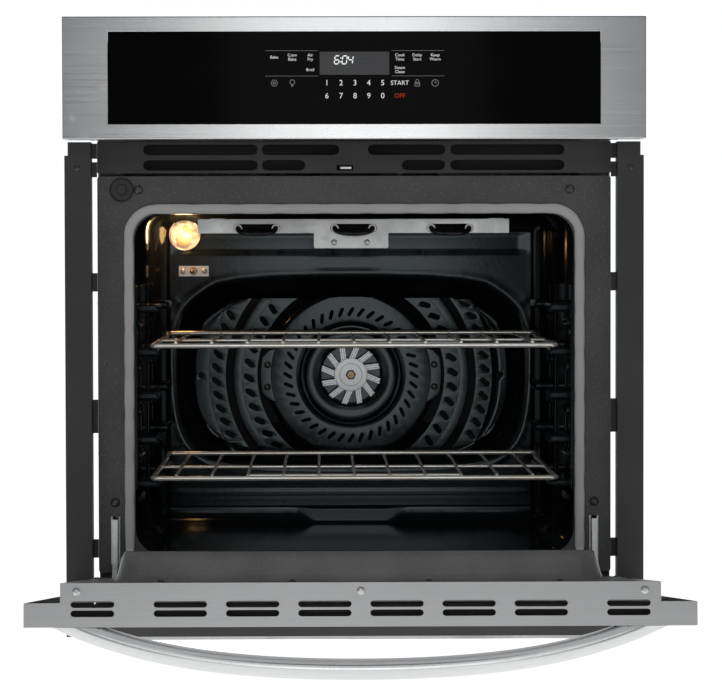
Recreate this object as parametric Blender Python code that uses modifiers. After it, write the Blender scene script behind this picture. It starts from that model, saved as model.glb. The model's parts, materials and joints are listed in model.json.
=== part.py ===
"""Built-in single wall oven: drop-down door, two sliding wire racks, fan-assisted cavity.

Metres, +Z up.  The oven faces -Y.  Y = 0 is the cabinet face that its trims rest against,
and the origin is on the underside of the base pan, in the middle of its width.
The door is modelled shut and hangs from an empty on its hinge axis, which holds it open.
"""
import math

import bmesh
import bpy
from mathutils import Matrix, Vector

# ---- Driving dimensions ----------------------------------------------------------------
WIDTH = 0.686                   # across the control trim, the side trims and the door
HEIGHT = 0.737
CHASSIS_WIDTH = 0.612           # front frame and vent panel, which pass through the cut-out
CHASSIS_BACK = 0.5890           # front face of the rear panel
CHASSIS_TOP = 0.7085            # underside of the top cover
SHEET = 0.0012                  # sheet steel
GAP = 0.0003                    # left between pieces that touch

FRAME_FRONT = 0.010             # front face of the front frame
FRAME_LOW, FRAME_HIGH = 0.078, 0.551
TRIM_FRONT = -0.014             # front face of the side and bottom trims
TRIM_LOW, TRIM_HIGH = 0.004, 0.575
TRIM_INNER = 0.312
FASCIA_FRONT = -0.041
FASCIA_LOW = 0.593
VENT_LOW, VENT_HIGH = 0.5545, 0.5925

OPENING = (0.262, 0.100, 0.506)         # half width, low and high of the mouth of the cavity
OPENING_RADIUS = 0.030
CAVITY = (0.2665, 0.095, 0.510)         # half width, floor and ceiling inside the liner
CAVITY_BACK = 0.485
CAVITY_RADIUS = 0.021
RECESS_BACK = 0.510
FAN_HEIGHT = 0.295

DOOR_FRONT = -0.041
DOOR_STEP = -0.016              # back of the full-width part, which closes over the trims
DOOR_BACK = 0.004               # inner flange, which closes onto the gasket
DOOR_LOW, DOOR_SKIN_LOW, DOOR_HIGH = 0.041, 0.064, 0.588
DOOR_OPEN_DEG = 84.5
DOOR_PIVOT = (0.0, -0.011, 0.059)
HINGE_X = 0.286
PLUG = (0.251, 0.115, 0.490)            # half width, low and high of the raised liner
PLUG_BACK = 0.0355
WINDOW = (0.190, 0.180, 0.430)
HANDLE_RADIUS = 0.011
HANDLE_HEIGHT = 0.545
HANDLE_STAND_OFF = 0.045
HANDLE_END = 0.324

RACK_HALF_WIDTH = 0.2430        # to the middle of the side rails
RACK_FRONT, RACK_BACK = 0.040, 0.424
RACK_WIRES = 11
RACK_PITCH = 0.0429
RACK_RAIL = 0.0034
RACK_WIRE = 0.0024
RACK_KICK = 0.005               # how far the back of a rack steps up
LEDGE_PITCH = 0.0533
LEDGE_LEVELS = [0.1885 + LEDGE_PITCH * level for level in range(5)]
LOWER_RACK = LEDGE_LEVELS[0]
UPPER_RACK = LEDGE_LEVELS[3]

DUCT_FLOOR = 0.5445             # what the blower and the door latch stand on
BROIL_HEIGHT = 0.489
BROIL_ROWS = (0.023, 0.095, 0.141)
BRACKET_FRONT = 0.100

# ---- Finishes: base colour, roughness, metallic, alpha ---------------------------------
FINISHES = {
    "brushed_stainless": ((0.68, 0.68, 0.69), 0.28, 1.0, 1.0),
    "galvanised": ((0.60, 0.63, 0.61), 0.45, 1.0, 1.0),
    "aluminised": ((0.52, 0.53, 0.54), 0.50, 1.0, 1.0),
    "grey_enamel": ((0.060, 0.060, 0.062), 0.42, 0.0, 1.0),
    "cavity_enamel": ((0.018, 0.020, 0.023), 0.16, 0.0, 1.0),
    "black_paint": ((0.035, 0.035, 0.036), 0.50, 0.0, 1.0),
    "chrome_wire": ((0.78, 0.76, 0.72), 0.14, 1.0, 1.0),
    "black_glass": ((0.006, 0.006, 0.007), 0.05, 0.0, 1.0),
    "clear_glass": ((0.80, 0.83, 0.82), 0.04, 0.0, 0.35),
    "lamp_glass": ((0.95, 0.78, 0.52), 0.10, 0.0, 0.6),
    "woven_seal": ((0.26, 0.26, 0.255), 0.90, 0.0, 1.0),
    "insulation": ((0.62, 0.58, 0.45), 0.95, 0.0, 1.0),
    "dark_sheath": ((0.030, 0.030, 0.032), 0.38, 0.6, 1.0),
    "black_plastic": ((0.030, 0.030, 0.031), 0.45, 0.0, 1.0),
    "circuit_board": ((0.03, 0.16, 0.07), 0.55, 0.0, 1.0),
}


# ---- Scene -----------------------------------------------------------------------------
for leftover in list(bpy.data.objects):
    bpy.data.objects.remove(leftover, do_unlink=True)


def new_collection(name):
    collection = bpy.data.collections.new(name)
    bpy.context.scene.collection.children.link(collection)
    return collection


PARTS = new_collection("wall_oven")
CUTTERS = new_collection("cutters")


def finish_material(finish):
    """One Principled material for each finish, made the first time that it is asked for."""
    found = bpy.data.materials.get(finish)
    if found:
        return found
    color, roughness, metallic, alpha = FINISHES[finish]
    made = bpy.data.materials.new(finish)
    made.use_nodes = True
    shader = made.node_tree.nodes["Principled BSDF"]
    shader.inputs["Base Color"].default_value = (*color, 1.0)
    shader.inputs["Roughness"].default_value = roughness
    shader.inputs["Metallic"].default_value = metallic
    shader.inputs["Alpha"].default_value = alpha
    made.diffuse_color = (*color, alpha)
    return made


def place(name, data, finish, location, rotation=(0, 0, 0), parent=None):
    """Put data in the scene as a part, or as a hidden cutter when it has no finish."""
    item = bpy.data.objects.new(name, data)
    start = parent.location if parent else Vector((0, 0, 0))
    item.location = Vector(location) - start
    item.rotation_euler = rotation
    item.parent = parent
    if finish:
        PARTS.objects.link(item)
        data.materials.append(finish_material(finish))
    else:
        CUTTERS.objects.link(item)
        item.hide_render = True
        item.display_type = "WIRE"
    return item


def pivot(name, location):
    """An empty on a moving body's joint axis."""
    item = bpy.data.objects.new(name, None)
    item.location = location
    PARTS.objects.link(item)
    return item


# ---- Shapes ----------------------------------------------------------------------------
def box(name, low, high, finish=None, parent=None, bevel=0.0, segments=2):
    low, high = Vector(low), Vector(high)
    shape = bmesh.new()
    bmesh.ops.create_cube(shape, size=1.0, matrix=Matrix.Diagonal((*(high - low), 1.0)))
    mesh = bpy.data.meshes.new(name)
    shape.to_mesh(mesh)
    shape.free()
    item = place(name, mesh, finish, (low + high) / 2, parent=parent)
    if bevel:
        rounding = item.modifiers.new("rounding", "BEVEL")
        rounding.width = bevel
        rounding.segments = segments
    return item


def drum(name, centre, radius, low, high, finish=None, parent=None, axis="Y", sides=24):
    """A cylinder along an axis, from low to high on that axis; centre gives the other two."""
    shape = bmesh.new()
    bmesh.ops.create_cone(shape, cap_ends=True, segments=sides, radius1=radius,
                          radius2=radius, depth=high - low)
    mesh = bpy.data.meshes.new(name)
    shape.to_mesh(mesh)
    shape.free()
    mesh.shade_smooth()
    mesh.set_sharp_from_angle(angle=math.radians(40))
    middle = (low + high) / 2
    location = list(centre)
    location.insert("XYZ".index(axis), middle)
    rotation = {"X": (0, math.pi / 2, 0), "Y": (math.pi / 2, 0, 0), "Z": (0, 0, 0)}[axis]
    return place(name, mesh, finish, location, rotation, parent)


def rounded(width, low, high, radius=0.0, middle=0.0, segments=4):
    """A rectangle's outline, of half width width about middle, with round corners."""
    if not radius:
        return [(middle - width, low), (middle + width, low),
                (middle + width, high), (middle - width, high)]
    points = []
    for turn, (u, v) in enumerate([(width, high), (-width, high), (-width, low), (width, low)]):
        centre = (middle + math.copysign(abs(u) - radius, u),
                  v - radius if v == high else v + radius)
        for step in range(segments + 1):
            angle = math.pi / 2 * (turn + step / segments)
            points.append((centre[0] + radius * math.cos(angle),
                           centre[1] + radius * math.sin(angle)))
    return points


def stadium(middle, level, length, height, segments=4):
    """A slot's outline with half-round ends."""
    radius = height / 2
    return [(middle + sign * (length / 2 - radius + radius * math.sin(angle)),
             level - sign * radius * math.cos(angle))
            for sign in (1, -1)
            for angle in (math.pi * n / segments for n in range(segments + 1))]


def circle(u, v, radius, sides=16, start=0.0):
    return [(u + radius * math.cos(start + math.tau * n / sides),
             v + radius * math.sin(start + math.tau * n / sides)) for n in range(sides)]


# turns that lay an outline's own X and Y on two world axes, with its thickness on the third
PLANES = {"XZ": (math.pi / 2, 0, 0), "YZ": (math.pi / 2, 0, math.pi / 2), "XY": (0, 0, 0)}


def plate(name, outlines, low, high, finish=None, parent=None, plane="XZ"):
    """A flat piece from its outline and its holes' outlines, from low to high in thickness."""
    curve = bpy.data.curves.new(name, "CURVE")
    curve.dimensions = "2D"
    curve.fill_mode = "BOTH"
    curve.extrude = (high - low) / 2
    for outline in outlines:
        spline = curve.splines.new("POLY")
        spline.points.add(len(outline) - 1)
        for point, (u, v) in zip(spline.points, outline):
            point.co = (u, v, 0, 1)
        spline.use_cyclic_u = True
    thickness_axis = 3 - "XYZ".index(plane[0]) - "XYZ".index(plane[1])
    location = [0.0, 0.0, 0.0]
    location[thickness_axis] = (low + high) / 2
    return place(name, curve, finish, location, PLANES[plane], parent)


def tube(name, points, radius, finish=None, parent=None, cyclic=False, sides=8):
    """A round bar along points."""
    curve = bpy.data.curves.new(name, "CURVE")
    curve.dimensions = "3D"
    curve.bevel_depth = radius
    curve.bevel_resolution = sides // 2 - 2
    curve.use_fill_caps = not cyclic
    spline = curve.splines.new("POLY")
    spline.points.add(len(points) - 1)
    for point, place_at in zip(spline.points, points):
        point.co = (*place_at, 1)
    spline.use_cyclic_u = cyclic
    start = parent.location if parent else Vector((0, 0, 0))
    return place(name, curve, finish, start, parent=parent)


def turned(name, profile, location, finish=None, parent=None, steps=24, facing=(0, 0, 0)):
    """A turned piece: (radius, height) pairs down its outer side, spun about its axis."""
    mesh = bpy.data.meshes.new(name)
    edges = [(n, n + 1) for n in range(len(profile) - 1)]
    mesh.from_pydata([(radius, 0, height) for radius, height in profile], edges, [])
    item = place(name, mesh, finish, location, facing, parent)
    screw = item.modifiers.new("turn", "SCREW")
    screw.steps = steps
    screw.render_steps = steps
    screw.use_merge_vertices = True
    screw.merge_threshold = 0.00001
    return item


def meshed(item):
    """The same piece as a mesh with its caps welded on, so that it can be cut or joined."""
    bpy.context.view_layer.update()
    seen = item.evaluated_get(bpy.context.evaluated_depsgraph_get())
    mesh = bpy.data.meshes.new_from_object(seen)
    shape = bmesh.new()
    shape.from_mesh(mesh)
    bmesh.ops.remove_doubles(shape, verts=shape.verts, dist=0.00001)
    bmesh.ops.recalc_face_normals(shape, faces=shape.faces)
    shape.to_mesh(mesh)
    shape.free()
    name, home = item.name, item.users_collection[0]
    item.name = name + "_outline"
    made = bpy.data.objects.new(name, mesh)
    made.parent = item.parent
    made.location = item.location
    made.rotation_euler = item.rotation_euler
    home.objects.link(made)
    made.hide_render = item.hide_render
    made.display_type = item.display_type
    bpy.data.objects.remove(item, do_unlink=True)
    return made


def combine(item, other, operation):
    step = item.modifiers.new(f"{operation.lower()} {other.name}", "BOOLEAN")
    step.operation = operation
    step.solver = "EXACT"
    step.object = other
    return item


def cut(item, *cutters):
    for cutter in cutters:
        combine(item, cutter, "DIFFERENCE")
    return item


def join(item, *others):
    for other in others:
        combine(item, other, "UNION")
    return item


SIDES = {"left": -1, "right": 1}
FACING_FRONT = (math.pi / 2, 0, 0)      # a turned piece's own +Z towards the viewer, -Y


# ---- Chassis ---------------------------------------------------------------------------
def build_chassis():
    outer_half = CHASSIS_WIDTH / 2 - 0.0008     # outside of the side panels
    inner_half = CHASSIS_WIDTH / 2 - 0.0025     # between the side panels
    back = CHASSIS_BACK - 0.0005
    pan_front, pan_back, pan_high = -0.012, CHASSIS_BACK - 0.001, 0.028
    pan = box("base_pan", (-inner_half, pan_front, 0), (inner_half, pan_back, pan_high),
              "aluminised")
    cut(pan, box("base_pan_inside", (-inner_half + SHEET, pan_front + SHEET, SHEET),
                 (inner_half - SHEET, pan_back - SHEET, pan_high + 0.012)))
    for side, sign in SIDES.items():
        inner, outer = sorted((sign * (outer_half - SHEET), sign * outer_half))
        box(f"side_panel_{side}", (inner, 0.0140, 0.001), (outer, back, CHASSIS_TOP - 0.0005),
            "aluminised")
    box("top_cover", (-outer_half, 0.002, CHASSIS_TOP), (outer_half, back, CHASSIS_TOP + SHEET),
        "aluminised")
    slots = [stadium(0.06 * column, level, 0.044, 0.006)
             for column in range(-3, 4) for level in (0.60, 0.62, 0.64)]
    plate("rear_panel", [rounded(outer_half, 0.001, CHASSIS_TOP + SHEET)] + slots,
          CHASSIS_BACK, CHASSIS_BACK + SHEET, "aluminised")
    plate("toe_panel", [rounded(inner_half, 0.0290, 0.0772)], 0.0160, 0.0172, "black_paint")
    box("cooling_duct_floor", (-inner_half, 0.0340, DUCT_FLOOR - SHEET - GAP),
        (inner_half, 0.450, DUCT_FLOOR - GAP), "aluminised")
    blanket = box("insulation_blanket", (-0.302, 0.080, 0.0470), (0.302, 0.480, 0.5415),
                  "insulation")
    cut(blanket, box("blanket_inside", (-0.2695, 0.060, 0.0765), (0.2695, 0.500, 0.5130)))
    terminals = box("terminal_box", (0.150, 0.480, 0.7100), (0.250, 0.560, 0.7340),
                    "aluminised")
    cut(terminals, box("terminal_box_inside", (0.1512, 0.4812, 0.7000), (0.2488, 0.5588, 0.7328)),
        drum("conduit_knockout", (0.200, 0.722), 0.009, 0.550, 0.570))


def build_front_frame():
    half_width, low, high = OPENING
    outlines = [rounded(CHASSIS_WIDTH / 2, FRAME_LOW, FRAME_HIGH, 0.003, segments=2),
                rounded(half_width, low, high, OPENING_RADIUS, segments=6),
                circle(-0.2768, 0.535, 0.0112)]
    outlines += [rounded(0.0055, 0.088, 0.145, middle=sign * HINGE_X)
                 for sign in SIDES.values()]
    plate("front_frame", outlines, FRAME_FRONT, FRAME_FRONT + SHEET, "grey_enamel")
    # a woven tube round the sides and the top of the mouth, open along the bottom
    inner, outer = 0.2628, 0.2745
    path = [(inner, 0.106)] + arch(inner, 0.5070, 0.030) + [(-inner, 0.106)]
    path += [(-outer, 0.106)] + arch(outer, 0.5170, 0.036)[::-1] + [(outer, 0.106)]
    plate("cavity_gasket", [path], FRAME_FRONT - 0.0053, FRAME_FRONT - GAP, "woven_seal")


def arch(half_width, high, radius, segments=6):
    """The top of an upside-down U, from its right leg round to its left one."""
    points = []
    for turn, sign in enumerate((1, -1)):
        for step in range(segments + 1):
            angle = math.pi / 2 * (turn + step / segments)
            points.append((sign * (half_width - radius) + radius * math.cos(angle),
                           high - radius + radius * math.sin(angle)))
    return points


def build_vent_panel():
    upper = [(-0.183, 0.137), (-0.064, 0.093), (0.0625, 0.093), (0.1825, 0.137)]
    lower = [(-0.183, 0.137), (-0.084, 0.052), (0.0825, 0.052), (0.1825, 0.137)]
    outlines = [rounded(CHASSIS_WIDTH / 2, VENT_LOW, VENT_HIGH, 0.001, segments=1)]
    for row, level, height in ((upper, 0.5823, 0.0125), (lower, 0.5640, 0.0125)):
        outlines += [stadium(middle, level, length, height) for middle, length in row]
    outlines.append(rounded(0.010, 0.5575, 0.5640, middle=-0.011))
    plate("vent_panel", outlines, FRAME_FRONT, FRAME_FRONT + SHEET, "black_paint")


def build_trims():
    tabs = [(0.096, 0.118), (0.245, 0.285), (0.414, 0.436), (0.550, 0.568), (0.572, 0.590)]
    for side, sign in SIDES.items():
        edge = WIDTH / 2
        section = [(TRIM_INNER, TRIM_FRONT), (edge, TRIM_FRONT), (edge, 0.0),
                   (edge - 0.016, 0.0), (edge - 0.016, -SHEET), (edge - SHEET, -SHEET),
                   (edge - SHEET, TRIM_FRONT + SHEET), (TRIM_INNER + SHEET, TRIM_FRONT + SHEET),
                   (TRIM_INNER + SHEET, 0.014), (TRIM_INNER, 0.014)]
        section = [(sign * u, v) for u, v in section][::sign]
        trim = meshed(plate(f"side_trim_{side}", [section], TRIM_LOW, TRIM_HIGH,
                            "black_paint", plane="XY"))
        low, high = sorted((sign * TRIM_INNER, sign * (edge - 0.004)))
        join(trim, box(f"trim_{side}_top", (low, TRIM_FRONT, TRIM_HIGH - 0.002),
                       (high, TRIM_FRONT + SHEET, 0.591)))
        low, high = sorted((sign * TRIM_INNER, sign * (TRIM_INNER + SHEET)))
        join(trim, box(f"trim_{side}_web", (low, TRIM_FRONT, TRIM_HIGH - 0.002),
                       (high, 0.014, 0.591)))
        for number, (bottom, top) in enumerate(tabs):
            low, high = sorted((sign * (CHASSIS_WIDTH / 2 + GAP), sign * (TRIM_INNER + 0.0006)))
            join(trim, box(f"trim_{side}_tab_{number}", (low, 0.0105, bottom),
                           (high, 0.0135, top)))
    box("bottom_trim", (-TRIM_INNER + GAP, TRIM_FRONT, TRIM_LOW),
        (TRIM_INNER - GAP, TRIM_FRONT + SHEET, 0.028), "black_paint")


# ---- Cavity ----------------------------------------------------------------------------
def cavity_shell(name, grow, front, recess_shape, recess_back, finish=None):
    """The cavity's rounded box and the recess behind it, grown by a wall's thickness."""
    half, floor, ceiling = CAVITY
    low = (-half - grow, front, floor - grow)
    high = (half + grow, CAVITY_BACK + grow, ceiling + grow)
    shell = box(name, low, high, finish, bevel=CAVITY_RADIUS, segments=3)
    recess = plate(f"{name}_recess", [recess_shape], CAVITY_BACK - 0.005, recess_back)
    return shell, meshed(recess)


def recess_outline(grow):
    """A wide rectangle with its corners cut off, round the fan cover."""
    half, low, high = 0.236 + grow, FAN_HEIGHT - 0.125 - grow, FAN_HEIGHT + 0.132 + grow
    side_low, side_high, top_half, foot_half = 0.250, 0.365, 0.162, 0.172
    return [(half, side_low), (half, side_high), (0.212 + grow, 0.398), (top_half, high),
            (-top_half, high), (-0.212 - grow, 0.398), (-half, side_high), (-half, side_low),
            (-0.218 - grow, 0.196), (-foot_half, low), (foot_half, low), (0.218 + grow, 0.196)]


def build_cavity():
    front = FRAME_FRONT + SHEET + GAP
    shell, bulge = cavity_shell("cavity_liner", SHEET, front - CAVITY_RADIUS - 0.01,
                                recess_outline(SHEET), RECESS_BACK + SHEET, "cavity_enamel")
    inside, hollow = cavity_shell("cavity_inside", 0.0, front - CAVITY_RADIUS - 0.02,
                                  recess_outline(0.0), RECESS_BACK)
    join(shell, bulge)
    cut(shell, inside, hollow,
        box("cavity_mouth", (-0.4, -0.2, -0.2), (0.4, front, 0.8)),
        drum("fan_shaft_hole", (0.0, FAN_HEIGHT), 0.008, 0.500, 0.520),
        drum("lamp_hole", (-0.223, 0.484), 0.0216, 0.450, 0.495),
        drum("sensor_hole", (-0.211, 0.435), 0.0040, 0.475, 0.495, sides=8))
    for sign in SIDES.values():
        cut(shell,
            drum(f"broil_tail_hole_{sign}", (sign * BROIL_ROWS[2], BROIL_HEIGHT), 0.0050,
                 0.475, 0.495, sides=8),
            drum(f"ring_tail_hole_{sign}", (sign * 0.012, FAN_HEIGHT + 0.088), 0.0050,
                 0.500, 0.520, sides=8))


def build_rack_guides():
    """A pressed side rail with five pairs of ledges, which the racks' side rails slide on."""
    half, inner = CAVITY[0], 0.2370
    for side, sign in SIDES.items():
        low, high = sorted((sign * (half - GAP), sign * (half - GAP - 0.0010)))
        guide = box(f"rack_guide_{side}", (low, 0.045, 0.172), (high, 0.430, 0.420),
                    "cavity_enamel")
        for number, level in enumerate(LEDGE_LEVELS):
            top = level - RACK_RAIL - GAP
            low, high = sorted((sign * (half - 0.0007), sign * inner))
            for end, (start, stop) in (("front", (0.060, 0.150)), ("back", (0.325, 0.415))):
                join(guide, box(f"ledge_{side}_{end}_{number}", (low, start, top - 0.010),
                                (high, stop, top)))


def build_fan_system():
    slot_ring = [ring_slot(0.083, 0.015, 0.0045, math.tau * n / 30) for n in range(30)]
    outer_slots = [ring_slot(0.135, 0.013, 0.0060, math.radians(a))
                   for base in (0, 180) for a in range(base - 40, base + 41, 10)]
    corner = math.asin(0.105 / 0.120)       # where the oval's flat top and foot begin
    oval = [(0.208 * math.cos(side + angle), FAN_HEIGHT + 0.120 * math.sin(side + angle))
            for side in (0, math.pi)
            for angle in (corner * (n / 6 - 1) for n in range(13))]
    cover = meshed(plate("fan_cover", [oval, circle(0.0, FAN_HEIGHT, 0.0396, 24)]
                         + slot_ring + outer_slots, 0.4760, 0.4772, "cavity_enamel"))
    for number, (u, v) in enumerate([(-0.185, -0.02), (0.185, -0.02), (-0.06, 0.095),
                                     (0.06, 0.095), (0.0, -0.099)]):
        join(cover, drum(f"cover_post_{number}", (u, FAN_HEIGHT + v), 0.0040, 0.4765,
                         RECESS_BACK - GAP, sides=8))

    spinner = pivot("convection_fan_axis", (0.0, 0.490, FAN_HEIGHT))
    blades = meshed(plate("convection_fan",
                          [paddles((0.0, FAN_HEIGHT), 0.058, 0.017, 12, 0.0090)],
                          0.4830, 0.4950, "aluminised", parent=spinner))
    hub = drum("fan_hub", (0.0, FAN_HEIGHT), 0.0150, 0.4810, 0.4970, parent=spinner)
    shaft = drum("fan_shaft", (0.0, FAN_HEIGHT), 0.0030, 0.4960, 0.5190, parent=spinner,
                 sides=12)
    join(blades, hub, shaft)
    motor = drum("convection_motor", (0.0, FAN_HEIGHT), 0.0320, 0.5300, 0.5700, "aluminised")
    join(motor, box("motor_feet", (-0.055, 0.5200, FAN_HEIGHT - 0.010),
                    (0.055, 0.5310, FAN_HEIGHT + 0.010)))
    cut(motor, drum("motor_bore", (0.0, FAN_HEIGHT), 0.0036, 0.510, 0.5215, sides=12))
    ring = tube("convection_element",
                [(0.012, 0.540, FAN_HEIGHT + 0.088), (0.012, 0.505, FAN_HEIGHT + 0.088)]
                + [(0.088 * math.sin(a), 0.5015, FAN_HEIGHT + 0.088 * math.cos(a))
                   for a in (math.radians(10 + 340 * n / 32) for n in range(33))]
                + [(-0.012, 0.505, FAN_HEIGHT + 0.088), (-0.012, 0.540, FAN_HEIGHT + 0.088)],
                0.0032, "dark_sheath")
    ring.data.bevel_resolution = 1


def ring_slot(radius, length, width, angle, lean=0.5):
    """A slot on a ring round the fan's axis, which leans over like a turbine's blade."""
    centre = Vector((radius * math.cos(angle), radius * math.sin(angle)))
    along = Vector((math.cos(angle + lean), math.sin(angle + lean))) * length / 2
    across = Vector((-along.y, along.x)).normalized() * width / 2
    corners = [centre - along - across, centre + along - across,
               centre + along + across, centre - along + across]
    return [(corner.x, FAN_HEIGHT + corner.y) for corner in corners]


def paddles(centre, radius, root, count, thickness, lean=0.25):
    """A wheel's outline: straight paddles round a hub, leaning over by an angle."""
    points = []
    foot, tip = 0.35 * math.tau / count, thickness / radius / 2
    for number in range(count):
        middle = math.tau * number / count
        for reach, angle in ((root, middle - foot), (radius, middle + lean - tip),
                             (radius, middle + lean + tip), (root, middle + foot)):
            points.append((centre[0] + reach * math.cos(angle),
                           centre[1] + reach * math.sin(angle)))
    return points


def build_elements():
    """The broil element's three pairs of rods, and the hidden element under the floor."""
    def serpentine(rows, front, back, height, drop):
        """Rods from front to back, joined by bends; drop lowers the bends at the front."""
        points = []
        for number, row in enumerate(rows[:-1]):
            following = rows[number + 1]
            radius, middle = abs(following - row) / 2, (following + row) / 2
            sign = math.copysign(1, following - row)
            ahead = number % 2 == 0
            for step in range(9):
                angle = math.pi * step / 8
                reach = radius * math.sin(angle) * 0.8
                edge = front - reach if ahead else back + reach
                points.append((middle - sign * radius * math.cos(angle), edge,
                               height - (drop * math.sin(angle) if ahead else 0)))
        return points

    rows = [-row for row in reversed(BROIL_ROWS)] + list(BROIL_ROWS)
    ends = [(-BROIL_ROWS[2], 0.520, BROIL_HEIGHT), (BROIL_ROWS[2], 0.520, BROIL_HEIGHT)]
    loops = serpentine(rows, 0.092, 0.420, BROIL_HEIGHT, 0.006)
    element = tube("broil_element", ends[:1] + loops + ends[1:], 0.0032, "dark_sheath")
    element.data.bevel_resolution = 1
    rods = [circle(row, BROIL_HEIGHT, 0.0042, 8) for row in rows]
    outline = [(-0.190, 0.4835), (-0.0485, 0.4835), (-0.0485, 0.4650), (0.0425, 0.4650),
               (0.0425, 0.4835), (0.190, 0.4835), (0.190, 0.5008), (-0.190, 0.5008)]
    plate("broil_bracket", [outline] + rods, BRACKET_FRONT, BRACKET_FRONT + SHEET, "galvanised")

    rows = [-0.20, -0.12, -0.04, 0.04, 0.12, 0.20]
    ends = [(-0.20, 0.500, 0.0855), (0.20, 0.500, 0.0855)]
    hidden = tube("bake_element", ends[:1] + serpentine(rows, 0.110, 0.400, 0.0855, 0.0)
                  + ends[1:], 0.0032, "dark_sheath")
    hidden.data.bevel_resolution = 1


def build_lamp_and_sensor():
    x, z = -0.223, 0.484
    wall = CAVITY_BACK - GAP
    dome = [(0.0, 0.0190), (0.0090, 0.0175), (0.0160, 0.0125), (0.0195, 0.0050),
            (0.0210, 0.0030), (0.0210, 0.0), (0.0172, 0.0), (0.0172, 0.0050),
            (0.0140, 0.0105), (0.0080, 0.0155), (0.0, 0.0168)]
    turned("lamp_lens", dome, (x, wall, z), "lamp_glass", facing=FACING_FRONT)
    bulb = [(0.0, 0.0120), (0.0040, 0.0105), (0.0060, 0.0060), (0.0060, -0.0180),
            (0.0085, -0.0190), (0.0085, -0.0380), (0.0, -0.0380)]
    turned("lamp_bulb", bulb, (x, wall, z), "lamp_glass", steps=12, facing=FACING_FRONT)
    can = [(0.0225, -0.0020), (0.0225, -0.0450), (0.0, -0.0450), (0.0, -0.0438),
           (0.0213, -0.0438), (0.0213, -0.0020), (0.0225, -0.0020)]
    turned("lamp_housing", can, (x, wall, z), "aluminised", steps=16, facing=FACING_FRONT)
    sensor = box("temperature_sensor", (-0.231, wall - 0.0010, 0.4280),
                 (-0.191, wall, 0.4420), "galvanised")
    join(sensor, drum("probe", (-0.211, 0.435), 0.0025, 0.430, 0.505, sides=8))


# ---- Racks -----------------------------------------------------------------------------
def build_rack(name, level):
    """A rail bent round all four sides, crossbars, and wires laid on them front to back."""
    slider = pivot(f"{name}_slide", (0.0, RACK_FRONT, level))
    depth, radius = RACK_BACK - RACK_FRONT, 0.016
    corners = [(RACK_HALF_WIDTH, depth), (-RACK_HALF_WIDTH, depth),
               (-RACK_HALF_WIDTH, 0.0), (RACK_HALF_WIDTH, 0.0)]
    loop = []
    for turn, (u, v) in enumerate(corners):
        centre = (u - math.copysign(radius, u), v - radius if v else radius)
        for step in range(4):
            angle = math.pi / 2 * (turn + step / 3)
            loop.append((centre[0] + radius * math.cos(angle),
                         centre[1] + radius * math.sin(angle), RACK_KICK if v else 0.0))
    # the rail stays level on its ledges and steps up at the back corners
    loop.insert(8, (-RACK_HALF_WIDTH, depth - 0.034, 0.0))
    loop.append((RACK_HALF_WIDTH, depth - 0.034, 0.0))
    frame = meshed(tube(name, loop, RACK_RAIL, "chrome_wire", slider, cyclic=True, sides=8))
    pieces = []
    bars = {"middle": (RACK_HALF_WIDTH - 0.0012, depth / 2 - 0.012, 0.0012),
            "grip": (RACK_PITCH * 3 + 0.001, 0.018, 0.0020)}
    for bar, (half, along, up) in bars.items():
        ends = [(-half, along, up), (half, along, up)]
        pieces.append(meshed(tube(f"{name}_{bar}_bar", ends, 0.0026, parent=slider, sides=8)))
    wire_level = RACK_RAIL + RACK_WIRE - 0.0012
    for number in range(RACK_WIRES):
        x = RACK_PITCH * (number - (RACK_WIRES - 1) / 2)
        run = [(x, -0.0010, wire_level), (x, depth - 0.034, wire_level),
               (x, depth - radius, wire_level + RACK_KICK),
               (x, depth + 0.0010, wire_level + RACK_KICK)]
        pieces.append(meshed(tube(f"{name}_wire_{number}", run, RACK_WIRE, parent=slider,
                                  sides=6)))
    join(frame, *pieces)


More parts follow.
